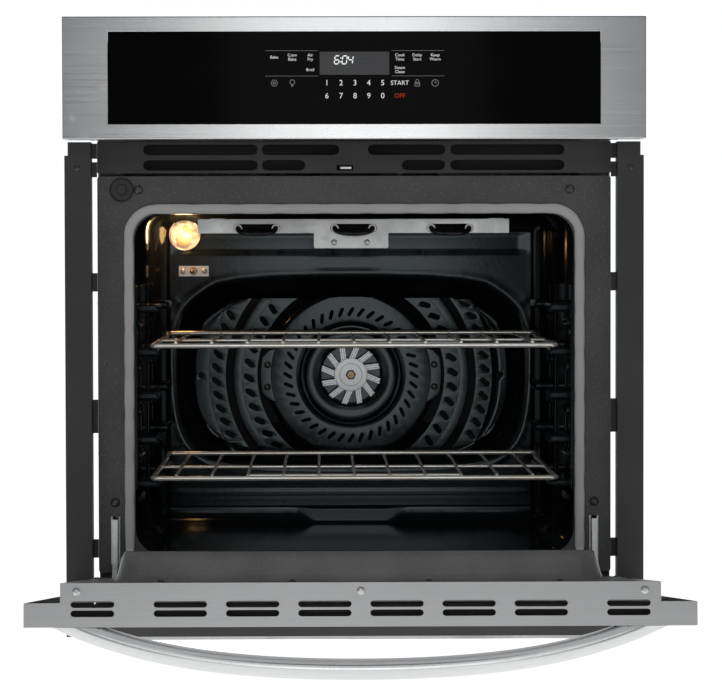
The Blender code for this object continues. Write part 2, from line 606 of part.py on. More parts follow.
# ---- Controls and cooling --------------------------------------------------------------
def build_controls():
    half, low, high = WIDTH / 2, FASCIA_LOW, HEIGHT
    trim = box("control_trim", (-half, FASCIA_FRONT, low), (half, 0.0, high),
               "brushed_stainless", bevel=0.0012, segments=2)
    cut(trim, box("trim_inside", (-half + SHEET, FASCIA_FRONT + SHEET, low + SHEET),
                  (half - SHEET, 0.01, high - SHEET)),
        box("trim_window", (-0.2896, -0.06, 0.6105), (0.2896, -0.02, 0.7197)))
    box("control_glass", (-0.2893, FASCIA_FRONT + 0.0003, 0.6108),
        (0.2893, FASCIA_FRONT + 0.0043, 0.7194), "black_glass")
    tray = box("control_housing", (-0.2850, -0.0362, 0.6140), (0.2850, -0.0120, 0.7160),
               "black_plastic")
    cut(tray, box("tray_inside", (-0.2830, -0.0345, 0.6160), (0.2830, 0.000, 0.7140)))
    box("display_module", (-0.0450, -0.0340, 0.6700), (0.0450, -0.0220, 0.7000),
        "black_plastic")
    box("control_board", (-0.2400, -0.0180, 0.6200), (0.2400, -0.0164, 0.7100),
        "circuit_board")

    floor = DUCT_FLOOR
    duct = box("blower_housing", (-0.110, 0.280, floor), (0.110, 0.440, floor + 0.060),
               "aluminised")
    cut(duct, box("blower_inside", (-0.109, 0.270, floor + 0.0010),
                  (0.109, 0.439, floor + 0.0590)),
        drum("blower_inlet", (0.0, 0.360), 0.0550, floor + 0.050, floor + 0.070, axis="Z"))
    spinner = pivot("blower_axis", (0.0, 0.360, floor + 0.028))
    wheel = meshed(plate("blower_wheel", [paddles((0.0, 0.360), 0.068, 0.020, 16, 0.0016)],
                         floor + 0.008, floor + 0.046, "aluminised", parent=spinner,
                         plane="XY"))
    join(wheel, drum("blower_hub", (0.0, 0.360), 0.0100, floor + 0.006, floor + 0.0500,
                     parent=spinner, axis="Z", sides=12))
    motor = drum("blower_motor", (0.0, 0.360), 0.0320, floor + 0.0503, floor + 0.110,
                 "black_plastic", axis="Z", sides=16)
    join(motor, box("blower_motor_strap", (-0.080, 0.350, floor + 0.0603),
                    (0.080, 0.370, floor + 0.0640)))


def build_latch_and_switch():
    slider = pivot("latch_hook_slide", (-0.011, 0.030, 0.5606))
    hook = [(-0.0165, 0.0065), (-0.0035, 0.0065), (-0.0035, 0.0110), (-0.0080, 0.0130),
            (-0.0080, 0.0640), (-0.0165, 0.0640)]
    plate("latch_hook", [hook], 0.5594, 0.5618, "galvanised", slider, plane="XY")
    box("latch_motor", (-0.040, 0.0645, DUCT_FLOOR + 0.0001), (0.018, 0.1050, 0.5760),
        "black_plastic")

    x, z = -0.2768, 0.535
    bushing = [(0.0140, 0.0016), (0.0142, 0.0010), (0.0142, 0.0), (0.0108, 0.0),
               (0.0108, -0.0220), (0.0064, -0.0220), (0.0064, 0.0016), (0.0140, 0.0016)]
    turned("door_switch_bushing", bushing, (x, FRAME_FRONT - GAP, z), "black_plastic",
           steps=20, facing=FACING_FRONT)
    plunger = pivot("door_switch_travel", (x, 0.015, z))
    drum("door_switch_plunger", (x, z), 0.0060, 0.0052, 0.0280, "black_plastic",
         parent=plunger, sides=12)


# ---- Door ------------------------------------------------------------------------------
def build_door():
    door = pivot("door_hinge_axis", DOOR_PIVOT)
    half, inner_half = WIDTH / 2, CHASSIS_WIDTH / 2
    thin = 0.0010

    skin = box("door_skin", (-half, DOOR_FRONT, DOOR_SKIN_LOW), (half, DOOR_STEP - GAP,
               DOOR_HIGH - GAP), "brushed_stainless", door)
    cut(skin, box("skin_inside", (-half + thin, DOOR_FRONT + thin, DOOR_SKIN_LOW + thin),
                  (half - thin, 0.05, DOOR_HIGH + 0.05), parent=door),
        box("skin_foot", (-half + thin, -0.0272, DOOR_SKIN_LOW - 0.01),
            (half - thin, 0.05, DOOR_SKIN_LOW + 0.01), parent=door),
        box("skin_window", (-0.235, -0.06, 0.160), (0.235, 0.0, 0.460), parent=door))

    top = [(-half, DOOR_FRONT), (half, DOOR_FRONT), (half, DOOR_STEP - GAP),
           (inner_half, DOOR_STEP - GAP), (inner_half, DOOR_BACK), (-inner_half, DOOR_BACK),
           (-inner_half, DOOR_STEP - GAP), (-half, DOOR_STEP - GAP)]
    slots = [stadium(sign * middle, level, length, 0.0067)
             for middle, length in ((0.0367, 0.0545), (0.1102, 0.0545), (0.1837, 0.0545),
                                    (0.2730, 0.0447))
             for sign in (-1, 1) for level in (-0.0178, -0.0271)]
    holes = [circle(x, -0.0047, 0.0022, 8) for x in (-0.2893, 0.0, 0.2893)]
    plate("door_vent_trim", [top] + slots + holes, DOOR_HIGH, DOOR_HIGH + 0.0011,
          "brushed_stainless", door, plane="XY")

    build_door_liner(door)
    build_door_glass(door)
    build_handle(door)
    build_hinges(door)
    door.rotation_euler.x = math.radians(DOOR_OPEN_DEG)


def build_door_liner(door):
    """The inner pan, with the plug that fills the mouth of the cavity raised out of it."""
    half, thin = CHASSIS_WIDTH / 2, 0.0010
    plug_half, plug_low, plug_high = PLUG
    front = DOOR_STEP + GAP

    def plug(name, inset, back, finish=None):
        low = (-plug_half + inset, -0.010, plug_low + inset)
        high = (plug_half - inset, back, plug_high - inset)
        return box(name, low, high, finish, door, bevel=0.006 - inset, segments=2)

    liner = box("door_liner", (-half, front, DOOR_LOW), (half, DOOR_BACK, DOOR_HIGH - 0.0015),
                "grey_enamel", door)
    join(liner, plug("plug_outside", 0.0, PLUG_BACK))
    cut(liner, box("liner_inside", (-half + thin, front - 0.01, DOOR_LOW + thin),
                   (half - thin, DOOR_BACK - thin, DOOR_HIGH + 0.01), parent=door),
        plug("plug_inside", thin, PLUG_BACK - thin),
        box("liner_window", (-WINDOW[0], 0.0, WINDOW[1]), (WINDOW[0], 0.06, WINDOW[2]),
            parent=door),
        box("latch_slot", (-0.0200, -0.005, 0.5565), (-0.0005, 0.010, 0.5650), parent=door))
    for side, sign in SIDES.items():
        low, high = sorted((sign * (HINGE_X - 0.0100), sign * (HINGE_X + 0.0100)))
        cut(liner, box(f"hinge_slot_{side}", (low, DOOR_BACK - 0.004, DOOR_LOW + 0.0015),
                       (high, 0.020, 0.150), parent=door))
    toe = [(-0.0265, 0.0395), (DOOR_BACK - 0.0005, 0.0395), (DOOR_BACK - 0.0005, 0.0405),
           (-0.0255, 0.0405), (-0.0255, DOOR_SKIN_LOW - GAP), (-0.0265, DOOR_SKIN_LOW - GAP)]
    plate("door_toe_channel", [toe], -0.3055, 0.3055, "black_paint", door, plane="YZ")


def build_door_glass(door):
    box("door_outer_glass", (-0.245, DOOR_FRONT + 0.0013, 0.150),
        (0.245, DOOR_FRONT + 0.0053, 0.470), "black_glass", door)
    box("door_middle_glass", (-0.220, -0.0120, 0.150), (0.220, -0.0090, 0.460),
        "clear_glass", door)
    box("door_inner_glass", (-0.205, PLUG_BACK - 0.0053, 0.165),
        (0.205, PLUG_BACK - 0.0013, 0.445), "clear_glass", door)
    frame = box("door_window_frame", (-0.224, -0.0087, 0.146), (0.224, 0.0000, 0.464),
                "aluminised", door)
    cut(frame, box("window_frame_inside", (-0.200, -0.02, 0.170), (0.200, 0.02, 0.440),
                   parent=door))
    wool = box("door_insulation", (-0.268, -0.0340, 0.110), (0.268, -0.0125, 0.560),
               "insulation", door)
    cut(wool, box("door_insulation_window", (-0.248, -0.05, 0.140), (0.248, 0.02, 0.480),
                  parent=door))


def handle_stand_off(x):
    """How far the bowed handle's middle line stands in front of the door's skin."""
    return HANDLE_STAND_OFF - (0.3065 * x ** 2 + 2.455 * x ** 4)


def build_handle(door):
    steps = 32
    points = []
    for step in range(steps + 1):
        x = HANDLE_END * (2 * step / steps - 1)
        points.append((x, DOOR_FRONT - handle_stand_off(x) - DOOR_PIVOT[1],
                       HANDLE_HEIGHT - DOOR_PIVOT[2]))
    bar = meshed(tube("door_handle", points, HANDLE_RADIUS, "brushed_stainless", door,
                      sides=16))
    cut(bar, box("handle_mitre", (-0.4, DOOR_FRONT - GAP, 0.4), (0.4, 0.05, 0.7),
                 parent=door))


def build_hinges(door):
    """A fixed claw arm through each slot of the front frame, and a channel in the door."""
    y, z = DOOR_PIVOT[1:]
    for side, sign in SIDES.items():
        middle = sign * HINGE_X
        outer = box(f"hinge_body_{side}", (middle - 0.0095, -0.0245, 0.0425),
                    (middle + 0.0095, 0.0025, 0.2400), "galvanised", door)
        cut(outer, box(f"hinge_channel_{side}", (middle - 0.0078, -0.0230, 0.03),
                       (middle + 0.0078, 0.02, 0.26), parent=door),
            drum(f"hinge_eye_{side}", (y, z), 0.0044, middle - 0.02, middle + 0.02,
                 parent=door, axis="X", sides=16))

        profile = [(0.060, 0.1000), (0.060, 0.1300), (0.012, 0.1420), (0.0025, 0.1420),
                   (-0.0015, 0.1150), (-0.0030, 0.0900), (-0.0150, 0.0660)]
        profile += [(y + 0.0080 * math.cos(a), z + 0.0080 * math.sin(a))
                    for a in (math.radians(150 + 210 * n / 8) for n in range(9))]
        profile += [(0.0040, 0.0740), (0.0080, 0.0930), (0.0125, 0.1000)]
        arm = meshed(plate(f"hinge_arm_{side}", [profile], middle - 0.0030, middle + 0.0030,
                           "galvanised", plane="YZ"))
        join(arm, drum(f"hinge_pin_{side}", (y, z), 0.0040, middle - 0.0105, middle + 0.0105,
                       axis="X", sides=16))

        receiver = box(f"hinge_receiver_{side}", (middle - 0.0100, 0.0116, 0.0800),
                       (middle + 0.0100, 0.0700, 0.1520), "galvanised")
        cut(receiver, box(f"receiver_slot_{side}", (middle - 0.0036, 0.00, 0.0860),
                          (middle + 0.0036, 0.0650, 0.1460)))


build_chassis()
build_front_frame()
build_vent_panel()
build_trims()
build_cavity()
build_rack_guides()
build_fan_system()
build_elements()
build_lamp_and_sensor()
build_rack("rack_lower", LOWER_RACK)
build_rack("rack_upper", UPPER_RACK)
build_controls()
build_latch_and_switch()
build_door()
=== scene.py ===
"""Finishes and fine pieces for a built-in wall oven whose solids come ready made.

The oven faces -Y, its width runs along X, and its origin is on the underside of the base pan.
Door pieces are shaped as on the shut door, then turned open with it.
"""
import json
import math

import bmesh
import bpy
from mathutils import Matrix, Vector


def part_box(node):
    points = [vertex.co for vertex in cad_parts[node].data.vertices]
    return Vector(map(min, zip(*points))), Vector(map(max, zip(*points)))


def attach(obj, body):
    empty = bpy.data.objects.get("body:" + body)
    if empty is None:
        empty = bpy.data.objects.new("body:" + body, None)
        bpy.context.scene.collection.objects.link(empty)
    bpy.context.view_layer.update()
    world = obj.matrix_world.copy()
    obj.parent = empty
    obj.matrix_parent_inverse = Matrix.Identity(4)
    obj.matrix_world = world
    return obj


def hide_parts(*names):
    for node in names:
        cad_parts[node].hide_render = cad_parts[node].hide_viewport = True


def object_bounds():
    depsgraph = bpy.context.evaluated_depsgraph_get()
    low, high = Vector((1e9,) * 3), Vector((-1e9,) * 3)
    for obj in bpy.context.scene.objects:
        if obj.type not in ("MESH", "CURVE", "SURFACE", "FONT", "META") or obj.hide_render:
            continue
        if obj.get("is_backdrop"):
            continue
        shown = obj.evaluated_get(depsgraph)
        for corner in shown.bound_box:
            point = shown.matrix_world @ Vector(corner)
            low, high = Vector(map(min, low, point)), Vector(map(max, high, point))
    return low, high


bl_info = {
    "name": "Wall oven finishes",
    "version": (1, 0, 0),
    "blender": (4, 5, 0),
    "location": "3D View > Sidebar > Oven",
    "description": "Finishes and fine pieces for a built-in wall oven",
    "category": "Object",
}

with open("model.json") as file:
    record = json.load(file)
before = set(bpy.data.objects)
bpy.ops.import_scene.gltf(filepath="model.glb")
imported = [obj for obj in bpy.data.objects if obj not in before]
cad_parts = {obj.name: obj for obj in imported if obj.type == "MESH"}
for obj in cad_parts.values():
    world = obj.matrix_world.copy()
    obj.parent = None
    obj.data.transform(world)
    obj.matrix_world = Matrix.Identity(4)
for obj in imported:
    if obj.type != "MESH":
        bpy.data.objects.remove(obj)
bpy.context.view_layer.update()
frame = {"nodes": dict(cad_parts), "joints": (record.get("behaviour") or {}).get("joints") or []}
NODES = frame["nodes"]
JOINTS = {joint["name"]: joint for joint in frame["joints"]}
SIDES = {"left": -1, "right": 1}
CLEAR = 0.0003                      # left between a piece and what it rests on

HINGE = Vector(JOINTS["door_hinge"]["pos_m"])
OPEN_ANGLE = math.radians(-JOINTS["door_hinge"]["range_deg"][0])
DOOR_TURN = (Matrix.Translation(HINGE) @ Matrix.Rotation(OPEN_ANGLE, 4, "X")
             @ Matrix.Translation(-HINGE))


def shut_box(node):
    """A door node's lowest and highest corners with the door shut."""
    back = DOOR_TURN.inverted()
    corners = [back @ vertex.co for vertex in NODES[node].data.vertices]
    return (Vector(tuple(min(c[axis] for c in corners) for axis in range(3))),
            Vector(tuple(max(c[axis] for c in corners) for axis in range(3))))


# ---- Finishes --------------------------------------------------------------------------
class Value:
    """A number that a node gives. Sums on it add Math nodes."""

    def __init__(self, finish, socket):
        self.finish, self.socket = finish, socket

    def math(self, operation, first, second=0.0):
        node = self.finish.node("ShaderNodeMath", {"operation": operation}, {0: first, 1: second})
        return Value(self.finish, node.outputs[0])

    def __add__(self, other):
        return self.math("ADD", self, other)

    def __sub__(self, other):
        return self.math("SUBTRACT", self, other)

    def __mul__(self, other):
        return self.math("MULTIPLY", self, other)

    def __abs__(self):
        return self.math("ABSOLUTE", self)

    def most(self, other):
        return self.math("MAXIMUM", self, other)

    def sine(self):
        return self.math("SINE", self)

    def ramp(self, low, high, start=0.0, end=1.0):
        """Goes smoothly from start to end as the number goes from low to high."""
        node = self.finish.node("ShaderNodeMapRange", {"interpolation_type": "SMOOTHSTEP"},
                                {0: self, 1: low, 2: high, 3: start, 4: end})
        return Value(self.finish, node.outputs[0])

    __radd__, __rmul__ = __add__, __mul__


class Finish:
    """A procedural material on Object coordinates, or on the piece's own UV map."""

    def __init__(self, name, on_uv=False):
        self.material = bpy.data.materials.new(name)
        self.material.use_nodes = True
        self.tree = self.material.node_tree
        self.shader = self.tree.nodes["Principled BSDF"]
        place = self.node("ShaderNodeTexCoord")
        self.place = place.outputs["UV" if on_uv else "Object"]

    def node(self, kind, settings=None, values=None):
        made = self.tree.nodes.new(kind)
        for name, setting in (settings or {}).items():
            setattr(made, name, setting)
        self.fill(made, values or {})
        return made

    def fill(self, node, values):
        for name, value in values.items():
            if isinstance(value, Value):
                value = value.socket
            if isinstance(value, bpy.types.NodeSocket):
                self.tree.links.new(value, node.inputs[name])
            else:
                if isinstance(value, tuple) and len(node.inputs[name].default_value) == 4:
                    value = (*value, 1.0)[:4]
                node.inputs[name].default_value = value

    def stretched(self, scale):
        """The coordinates scaled along each axis."""
        mapped = self.node("ShaderNodeMapping", {"vector_type": "POINT"},
                           {"Vector": self.place, "Scale": scale})
        return mapped.outputs[0]

    def noise(self, scale, detail=3.0, rough=0.5, stretch=(1.0, 1.0, 1.0), warp=0.0):
        node = self.node("ShaderNodeTexNoise", None,
                         {"Vector": self.stretched(stretch), "Scale": scale, "Detail": detail,
                          "Roughness": rough, "Distortion": warp})
        return Value(self, node.outputs[0])

    def cells(self, scale, output="Distance"):
        """Distance from the cells' centres; Color gives one random number for each cell."""
        node = self.node("ShaderNodeTexVoronoi", {"feature": "F1"},
                         {"Vector": self.place, "Scale": scale})
        if output == "Color":
            split = self.node("ShaderNodeSeparateColor", None, {0: node.outputs["Color"]})
            return Value(self, split.outputs[0])
        return Value(self, node.outputs[output])

    def axes(self):
        split = self.node("ShaderNodeSeparateXYZ", None, {0: self.place})
        return [Value(self, output) for output in split.outputs]

    def mix(self, factor, first, second):
        """One colour over another."""
        node = self.node("ShaderNodeMix", {"data_type": "RGBA"},
                         {0: factor, 6: first, 7: second})
        return node.outputs[2]

    def relief(self, height, distance, strength):
        return self.node("ShaderNodeBump", None, {"Height": height, "Distance": distance,
                                                  "Strength": strength}).outputs[0]

    def done(self, **values):
        self.fill(self.shader, {name.replace("_", " "): value for name, value in values.items()})
        return self.material


def brushed(name, tone, rough, grain=(3.0, 700.0, 700.0), depth=0.00002):
    """Sheet steel brushed along X: long hairlines, a soft mottle and faint handling marks."""
    f = Finish(name)
    hair = f.noise(1.0, 4.0, 0.6, grain)
    fine = f.noise(2.3, 3.0, 0.7, (grain[0] * 3, grain[1] * 1.7, grain[2] * 1.7))
    cloud = f.noise(7.0, 2.0)
    marks = f.noise(38.0, 5.0, 0.65, warp=0.6).ramp(0.60, 0.78)
    lines = hair * 0.6 + fine * 0.4
    light = tuple(min(1.0, c * 1.04) for c in tone)
    dark = tuple(c * 0.94 for c in tone)
    colour = f.mix(lines.ramp(0.32, 0.68), dark, light)
    colour = f.mix(cloud.ramp(0.35, 0.7, 0.0, 0.35), colour, tuple(c * 0.93 for c in tone))
    return f.done(Base_Color=colour, Metallic=1.0,
                  Roughness=lines * 0.13 + cloud * 0.05 + marks * 0.05 + (rough - 0.09),
                  Normal=f.relief(lines, depth, 0.55))


def zinc(name, tone, rough, spangle=130.0):
    """Zinc-coated sheet: crystals of slightly different greys, with rolling marks."""
    f = Finish(name)
    crystal = f.cells(spangle, "Color")
    grain = f.noise(420.0, 3.0, 0.6)
    stain = f.noise(11.0, 4.0, 0.6, warp=0.4).ramp(0.42, 0.72)
    rolled = f.noise(1.0, 3.0, 0.6, (6.0, 260.0, 260.0))
    shade = crystal * 0.45 + grain * 0.25 + rolled * 0.30
    colour = f.mix(shade, tuple(c * 0.80 for c in tone), tuple(min(1.0, c * 1.14) for c in tone))
    colour = f.mix(stain * 0.4, colour, tuple(c * 0.66 for c in tone))
    return f.done(Base_Color=colour, Metallic=1.0,
                  Roughness=crystal * 0.12 + stain * 0.10 + (rough - 0.06),
                  Normal=f.relief(grain * 0.5 + rolled * 0.5, 0.00004, 0.6))


def enamel(name, tone, rough, speck=(0.5, 0.5, 0.5), share=0.5, scale=520.0, peel=0.00010,
           gloss=0.5, sheen=(1.0, 1.0, 1.0)):
    """Vitreous enamel: fused specks in a dark ground, and a faint orange peel."""
    f = Finish(name)
    near = f.cells(scale)
    pick = f.cells(scale, "Color")
    fleck = near.ramp(0.30, 0.16) * pick.ramp(1.0 - share, 1.0 - share + 0.12)
    small = f.cells(scale * 2.1).ramp(0.26, 0.14) * f.cells(scale * 2.1, "Color").ramp(0.72, 0.8)
    cloud = f.noise(14.0, 3.0)
    ground = f.mix(cloud.ramp(0.3, 0.7), tuple(c * 0.82 for c in tone),
                   tuple(c * 1.18 for c in tone))
    colour = f.mix(fleck * 0.55, ground, speck)
    colour = f.mix(small * 0.35, colour, tuple(c * 0.8 for c in speck))
    orange = f.noise(150.0, 2.0, 0.5)
    return f.done(Base_Color=colour, Roughness=cloud * 0.05 + fleck * 0.06 + (rough - 0.025),
                  Normal=f.relief(orange, peel, 0.5), Specular_IOR_Level=gloss,
                  Specular_Tint=sheen)


def painted(name, tone, rough, scale=700.0, depth=0.00006):
    """Baked paint or moulded plastic: a fine even texture, lighter where it has been rubbed."""
    f = Finish(name)
    tooth = f.noise(scale, 2.0, 0.6)
    cloud = f.noise(9.0, 3.0)
    rub = f.noise(26.0, 5.0, 0.7, warp=0.8).ramp(0.58, 0.80)
    colour = f.mix(cloud.ramp(0.3, 0.7), tuple(c * 0.85 for c in tone),
                   tuple(c * 1.15 for c in tone))
    colour = f.mix(rub * 0.35, colour, tuple(c * 1.6 + 0.01 for c in tone))
    return f.done(Base_Color=colour, Roughness=tooth * 0.08 + rub * 0.08 + (rough - 0.06),
                  Normal=f.relief(tooth, depth, 0.6))


def plated(name, tone, rough):
    """Bright plating on drawn wire, with heat tint and drawing lines."""
    f = Finish(name)
    draw = f.noise(1.0, 3.0, 0.6, (900.0, 60.0, 900.0))
    tint = f.noise(17.0, 3.0, 0.6)
    colour = f.mix(tint.ramp(0.35, 0.72), tone, (tone[0] * 0.95, tone[1] * 0.90, tone[2] * 0.80))
    return f.done(Base_Color=colour, Metallic=0.72,
                  Roughness=draw * 0.08 + tint * 0.06 + (rough - 0.05),
                  Normal=f.relief(draw, 0.00002, 0.4))


def glossy_glass(name, tone, rough, gloss, alpha=1.0):
    """Glass, with the faint smears and dust that its polish shows."""
    f = Finish(name)
    smear = f.noise(5.0, 5.0, 0.6, (1.0, 1.0, 2.6), warp=1.2).ramp(0.45, 0.75)
    dust = f.cells(900.0).ramp(0.10, 0.05) * f.cells(900.0, "Color").ramp(0.90, 0.95)
    colour = f.mix(smear * 0.25, tone, tuple(c * 1.5 + 0.001 for c in tone))
    colour = f.mix(dust * 0.05, colour, (0.5, 0.5, 0.5))
    return f.done(Base_Color=colour, Roughness=smear * 0.03 + dust * 0.1 + rough,
                  Specular_IOR_Level=gloss, Alpha=alpha)


def sheathed(name, tone):
    """A heater's metal sheath: oxidised almost black, with blue and straw tints."""
    f = Finish(name)
    scale_marks = f.noise(60.0, 4.0, 0.7)
    heat = f.noise(9.0, 2.0)
    colour = f.mix(scale_marks.ramp(0.35, 0.7), tone, tuple(c * 2.2 for c in tone))
    colour = f.mix(heat.ramp(0.55, 0.75) * 0.5, colour, (0.10, 0.065, 0.035))
    colour = f.mix(heat.ramp(0.45, 0.25) * 0.4, colour, (0.035, 0.05, 0.085))
    return f.done(Base_Color=colour, Metallic=0.75, Roughness=scale_marks * 0.25 + 0.22,
                  Normal=f.relief(scale_marks, 0.00006, 0.5))


def woven(name, tone):
    """A braided glass-fibre sleeve: strands that cross over and under round the tube."""
    f = Finish(name, on_uv=True)
    along, around = f.axes()[:2]
    over = ((along + around) * math.tau * 6.0).sine()
    under = ((along - around) * math.tau * 6.0).sine()
    braid = abs(over).most(abs(under))
    fibre = f.noise(90.0, 3.0, 0.7)
    soil = f.noise(0.35, 3.0, 0.6)
    light = tuple(min(1.0, c * 1.35) for c in tone)
    colour = f.mix(braid * 0.7 + fibre * 0.3, tuple(c * 0.42 for c in tone), light)
    colour = f.mix(soil.ramp(0.5, 0.8) * 0.3, colour, tuple(c * 0.55 for c in tone))
    return f.done(Base_Color=colour, Roughness=fibre * 0.15 + 0.74,
                  Normal=f.relief(braid + fibre * 0.35, 0.00045, 0.9), Sheen_Weight=0.15)


def wool(name, tone):
    """Mineral wool: matted fibres in loose clumps."""
    f = Finish(name)
    clump = f.noise(34.0, 5.0, 0.65)
    fibre = f.noise(260.0, 4.0, 0.75, (1.0, 0.35, 1.0), warp=1.5)
    colour = f.mix(clump * 0.5 + fibre * 0.5, tuple(c * 0.62 for c in tone),
                   tuple(min(1.0, c * 1.25) for c in tone))
    return f.done(Base_Color=colour, Roughness=fibre * 0.1 + 0.86,
                  Normal=f.relief(clump * 0.6 + fibre * 0.4, 0.0025, 0.9))


def boards(name, tone):
    """A printed circuit: solder mask over copper lines, with tinned pads."""
    f = Finish(name)
    lines = f.cells(70.0)
    trace = abs((lines * 42.0).sine()).ramp(0.72, 0.86)
    pad = f.cells(240.0).ramp(0.22, 0.16) * f.cells(240.0, "Color").ramp(0.62, 0.7)
    colour = f.mix(trace, tone, tuple(c * 1.9 for c in tone))
    colour = f.mix(pad, colour, (0.62, 0.60, 0.55))
    return f.done(Base_Color=colour, Metallic=pad * 0.9, Roughness=pad * -0.1 + 0.42,
                  Normal=f.relief(trace + pad, 0.00012, 0.6))


def glowing(name, tone, light, strength, spread=30.0):
    """Frosted glass lit from inside, brightest in soft patches."""
    f = Finish(name)
    patch = f.noise(spread, 2.0)
    ribs = f.noise(220.0, 2.0)
    colour = f.mix(patch, tuple(c * 0.8 for c in tone), tone)
    glow = f.mix(patch.ramp(0.40, 0.60), tuple(c * 0.25 for c in light), light)
    return f.done(Base_Color=colour, Roughness=ribs * 0.1 + 0.12, Emission_Color=glow,
                  Emission_Strength=strength, Normal=f.relief(ribs, 0.0002, 0.5))


def inked(name, tone, glow=0.0):
    """A printed mark, a little uneven in its cover; glow makes it give light, real on the lit
    display and a painted glow on the printed keys.
    """
    f = Finish(name)
    cover = f.noise(600.0, 3.0)
    colour = f.mix(cover, tuple(c * 0.9 for c in tone), tone)
    return f.done(Base_Color=colour, Roughness=cover * 0.1 + 0.4, Emission_Color=colour,
                  Emission_Strength=glow, Specular_IOR_Level=0.2)


FINISHES = {}


def make_finishes(colours):
    """Every finish on the oven, from the colours in the panel."""
    steel, dark = tuple(colours.stainless), tuple(colours.enamel)
    FINISHES.update(
        stainless=brushed("brushed_stainless", tuple(c * 1.04 for c in steel), 0.23),
        door_steel=brushed("brushed_door_steel", tuple(c * 0.84 for c in steel), 0.44),
        handle_steel=brushed("brushed_handle", tuple(c * 0.92 for c in steel), 0.20,
                             (4.0, 500.0, 500.0), 0.000002),
        galvanised=zinc("galvanised_sheet", (0.82, 0.84, 0.83), 0.42),
        aluminised=zinc("aluminised_sheet", (0.56, 0.57, 0.58), 0.46, 300.0),
        fan_steel=brushed("fan_steel", (0.90, 0.92, 0.93), 0.38, (60.0, 60.0, 60.0)),
        speckled=enamel("speckled_enamel", (0.052, 0.052, 0.053), 0.40, (0.34, 0.34, 0.34), 0.30),
        pan=enamel("pan_enamel", (0.140, 0.140, 0.141), 0.36, (0.38, 0.38, 0.38), 0.30),
        cavity=enamel("cavity_enamel", dark, 0.12, (0.07, 0.09, 0.12), 0.24, 640.0, 0.00006,
                      0.36, (0.84, 0.95, 1.0)),
        paint=painted("black_paint", (0.030, 0.030, 0.031), 0.50),
        plastic=painted("black_plastic", (0.020, 0.020, 0.021), 0.42, 900.0, 0.00009),
        chrome=plated("chrome_wire", (1.0, 0.99, 0.96), 0.22),
        panel_glass=glossy_glass("black_glass", tuple(colours.panel), 0.07, 0.02),
        door_glass=glossy_glass("door_glass", (0.006, 0.006, 0.007), 0.05, 0.45),
        clear_glass=glossy_glass("clear_glass", (0.05, 0.055, 0.05), 0.03, 0.5, 0.35),
        lens=glowing("lamp_lens", (0.60, 0.42, 0.24), (1.0, 0.72, 0.40), 1.1, 75.0),
        bulb=glowing("lamp_bulb", (0.95, 0.85, 0.7), (1.0, 0.86, 0.62), 3.0),
        seal=woven("woven_seal", (0.40, 0.40, 0.395)),
        wool=wool("insulation_wool", (0.60, 0.56, 0.42)),
        sheath=sheathed("heater_sheath", (0.020, 0.020, 0.021)),
        board=boards("circuit_board", (0.012, 0.075, 0.030)),
        screen=glossy_glass("display_screen", (0.040, 0.041, 0.044), 0.22, 0.3),
        lit=inked("lit_segment", (0.86, 0.88, 0.88), 0.75),
        unlit=inked("unlit_segment", (0.070, 0.072, 0.076)),
        # the printed keys' glow is a painted glow: print gives no light of its own
        white_ink=inked("white_ink", (0.80, 0.80, 0.80), 0.35),
        grey_ink=inked("grey_ink", (0.34, 0.35, 0.36), 0.04),
        red_ink=inked("red_ink", (0.60, 0.030, 0.022), 0.16),
        screw=plated("screw_plating", (0.66, 0.67, 0.68), 0.30),
        dark_screw=plated("blackened_screw", (0.10, 0.10, 0.10), 0.34),
        nut=plated("bronze_nut", (0.55, 0.42, 0.27), 0.26),
        # painted shadow: a near-black finish for rings and sheets that stand in for shade in gaps
        # and hollows
        shadow=painted("dark_gap", (0.004, 0.004, 0.004), 0.7),
    )


# ---- Shapes ----------------------------------------------------------------------------
def rounded(width, low, high, radius=0.0, middle=0.0, segments=5):
    """A rectangle's outline, of half width width about middle, with round corners."""
    if not radius:
        return [(middle - width, low), (middle + width, low),
                (middle + width, high), (middle - width, high)]
    points = []
    for turn, (u, v) in enumerate([(1, 1), (-1, 1), (-1, -1), (1, -1)]):
        centre = (middle + u * (width - radius), high - radius if v > 0 else low + radius)
        for step in range(segments + 1):
            angle = math.pi / 2 * (turn + step / segments)
            points.append((centre[0] + radius * math.cos(angle),
                           centre[1] + radius * math.sin(angle)))
    return points


def stadium(centre, length, height, angle=0.0, segments=5):
    """A slot's outline with half-round ends, turned about its middle."""
    radius, turn = height / 2, Matrix.Rotation(angle, 2)
    return [tuple(Vector(centre) + turn @ Vector(
                (sign * (length / 2 - radius + radius * math.sin(bend)),
                 -sign * radius * math.cos(bend))))
            for sign in (1, -1)
            for bend in (math.pi * n / segments for n in range(segments + 1))]


def ring(u, v, radius, sides=24, start=0.0):
    return [(u + radius * math.cos(start + math.tau * n / sides),
             v + radius * math.sin(start + math.tau * n / sides)) for n in range(sides)]


def soften(outline, rounds=3):
    """An outline with its corners cut again and again until they are round."""
    for _ in range(rounds):
        pairs = list(zip(outline, outline[1:] + outline[:1]))
        outline = [(a[0] + (b[0] - a[0]) * share, a[1] + (b[1] - a[1]) * share)
                   for a, b in pairs for share in (0.25, 0.75)]
    return outline


def smoothstep(low, high, value):
    share = min(1.0, max(0.0, (value - low) / (high - low)))
    return share * share * (3 - 2 * share)


def edge_distance(outline, point):
    """Distance from a point to an outline, positive inside it."""
    nearest, inside = 1e9, False
    p = Vector(point)
    for a, b in zip(outline, outline[1:] + outline[:1]):
        a, b = Vector(a), Vector(b)
        run = b - a
        share = min(1.0, max(0.0, (p - a).dot(run) / run.length_squared))
        nearest = min(nearest, (p - a - run * share).length)
        if (a.y > p.y) != (b.y > p.y) and p.x < a.x + (p.y - a.y) / run.y * run.x:
            inside = not inside
    return nearest if inside else -nearest


def touching(verts, kind):
    """The edges or faces that use these vertices, each once and in a fixed order."""
    return list(dict.fromkeys(item for vert in verts for item in getattr(vert, kind)))


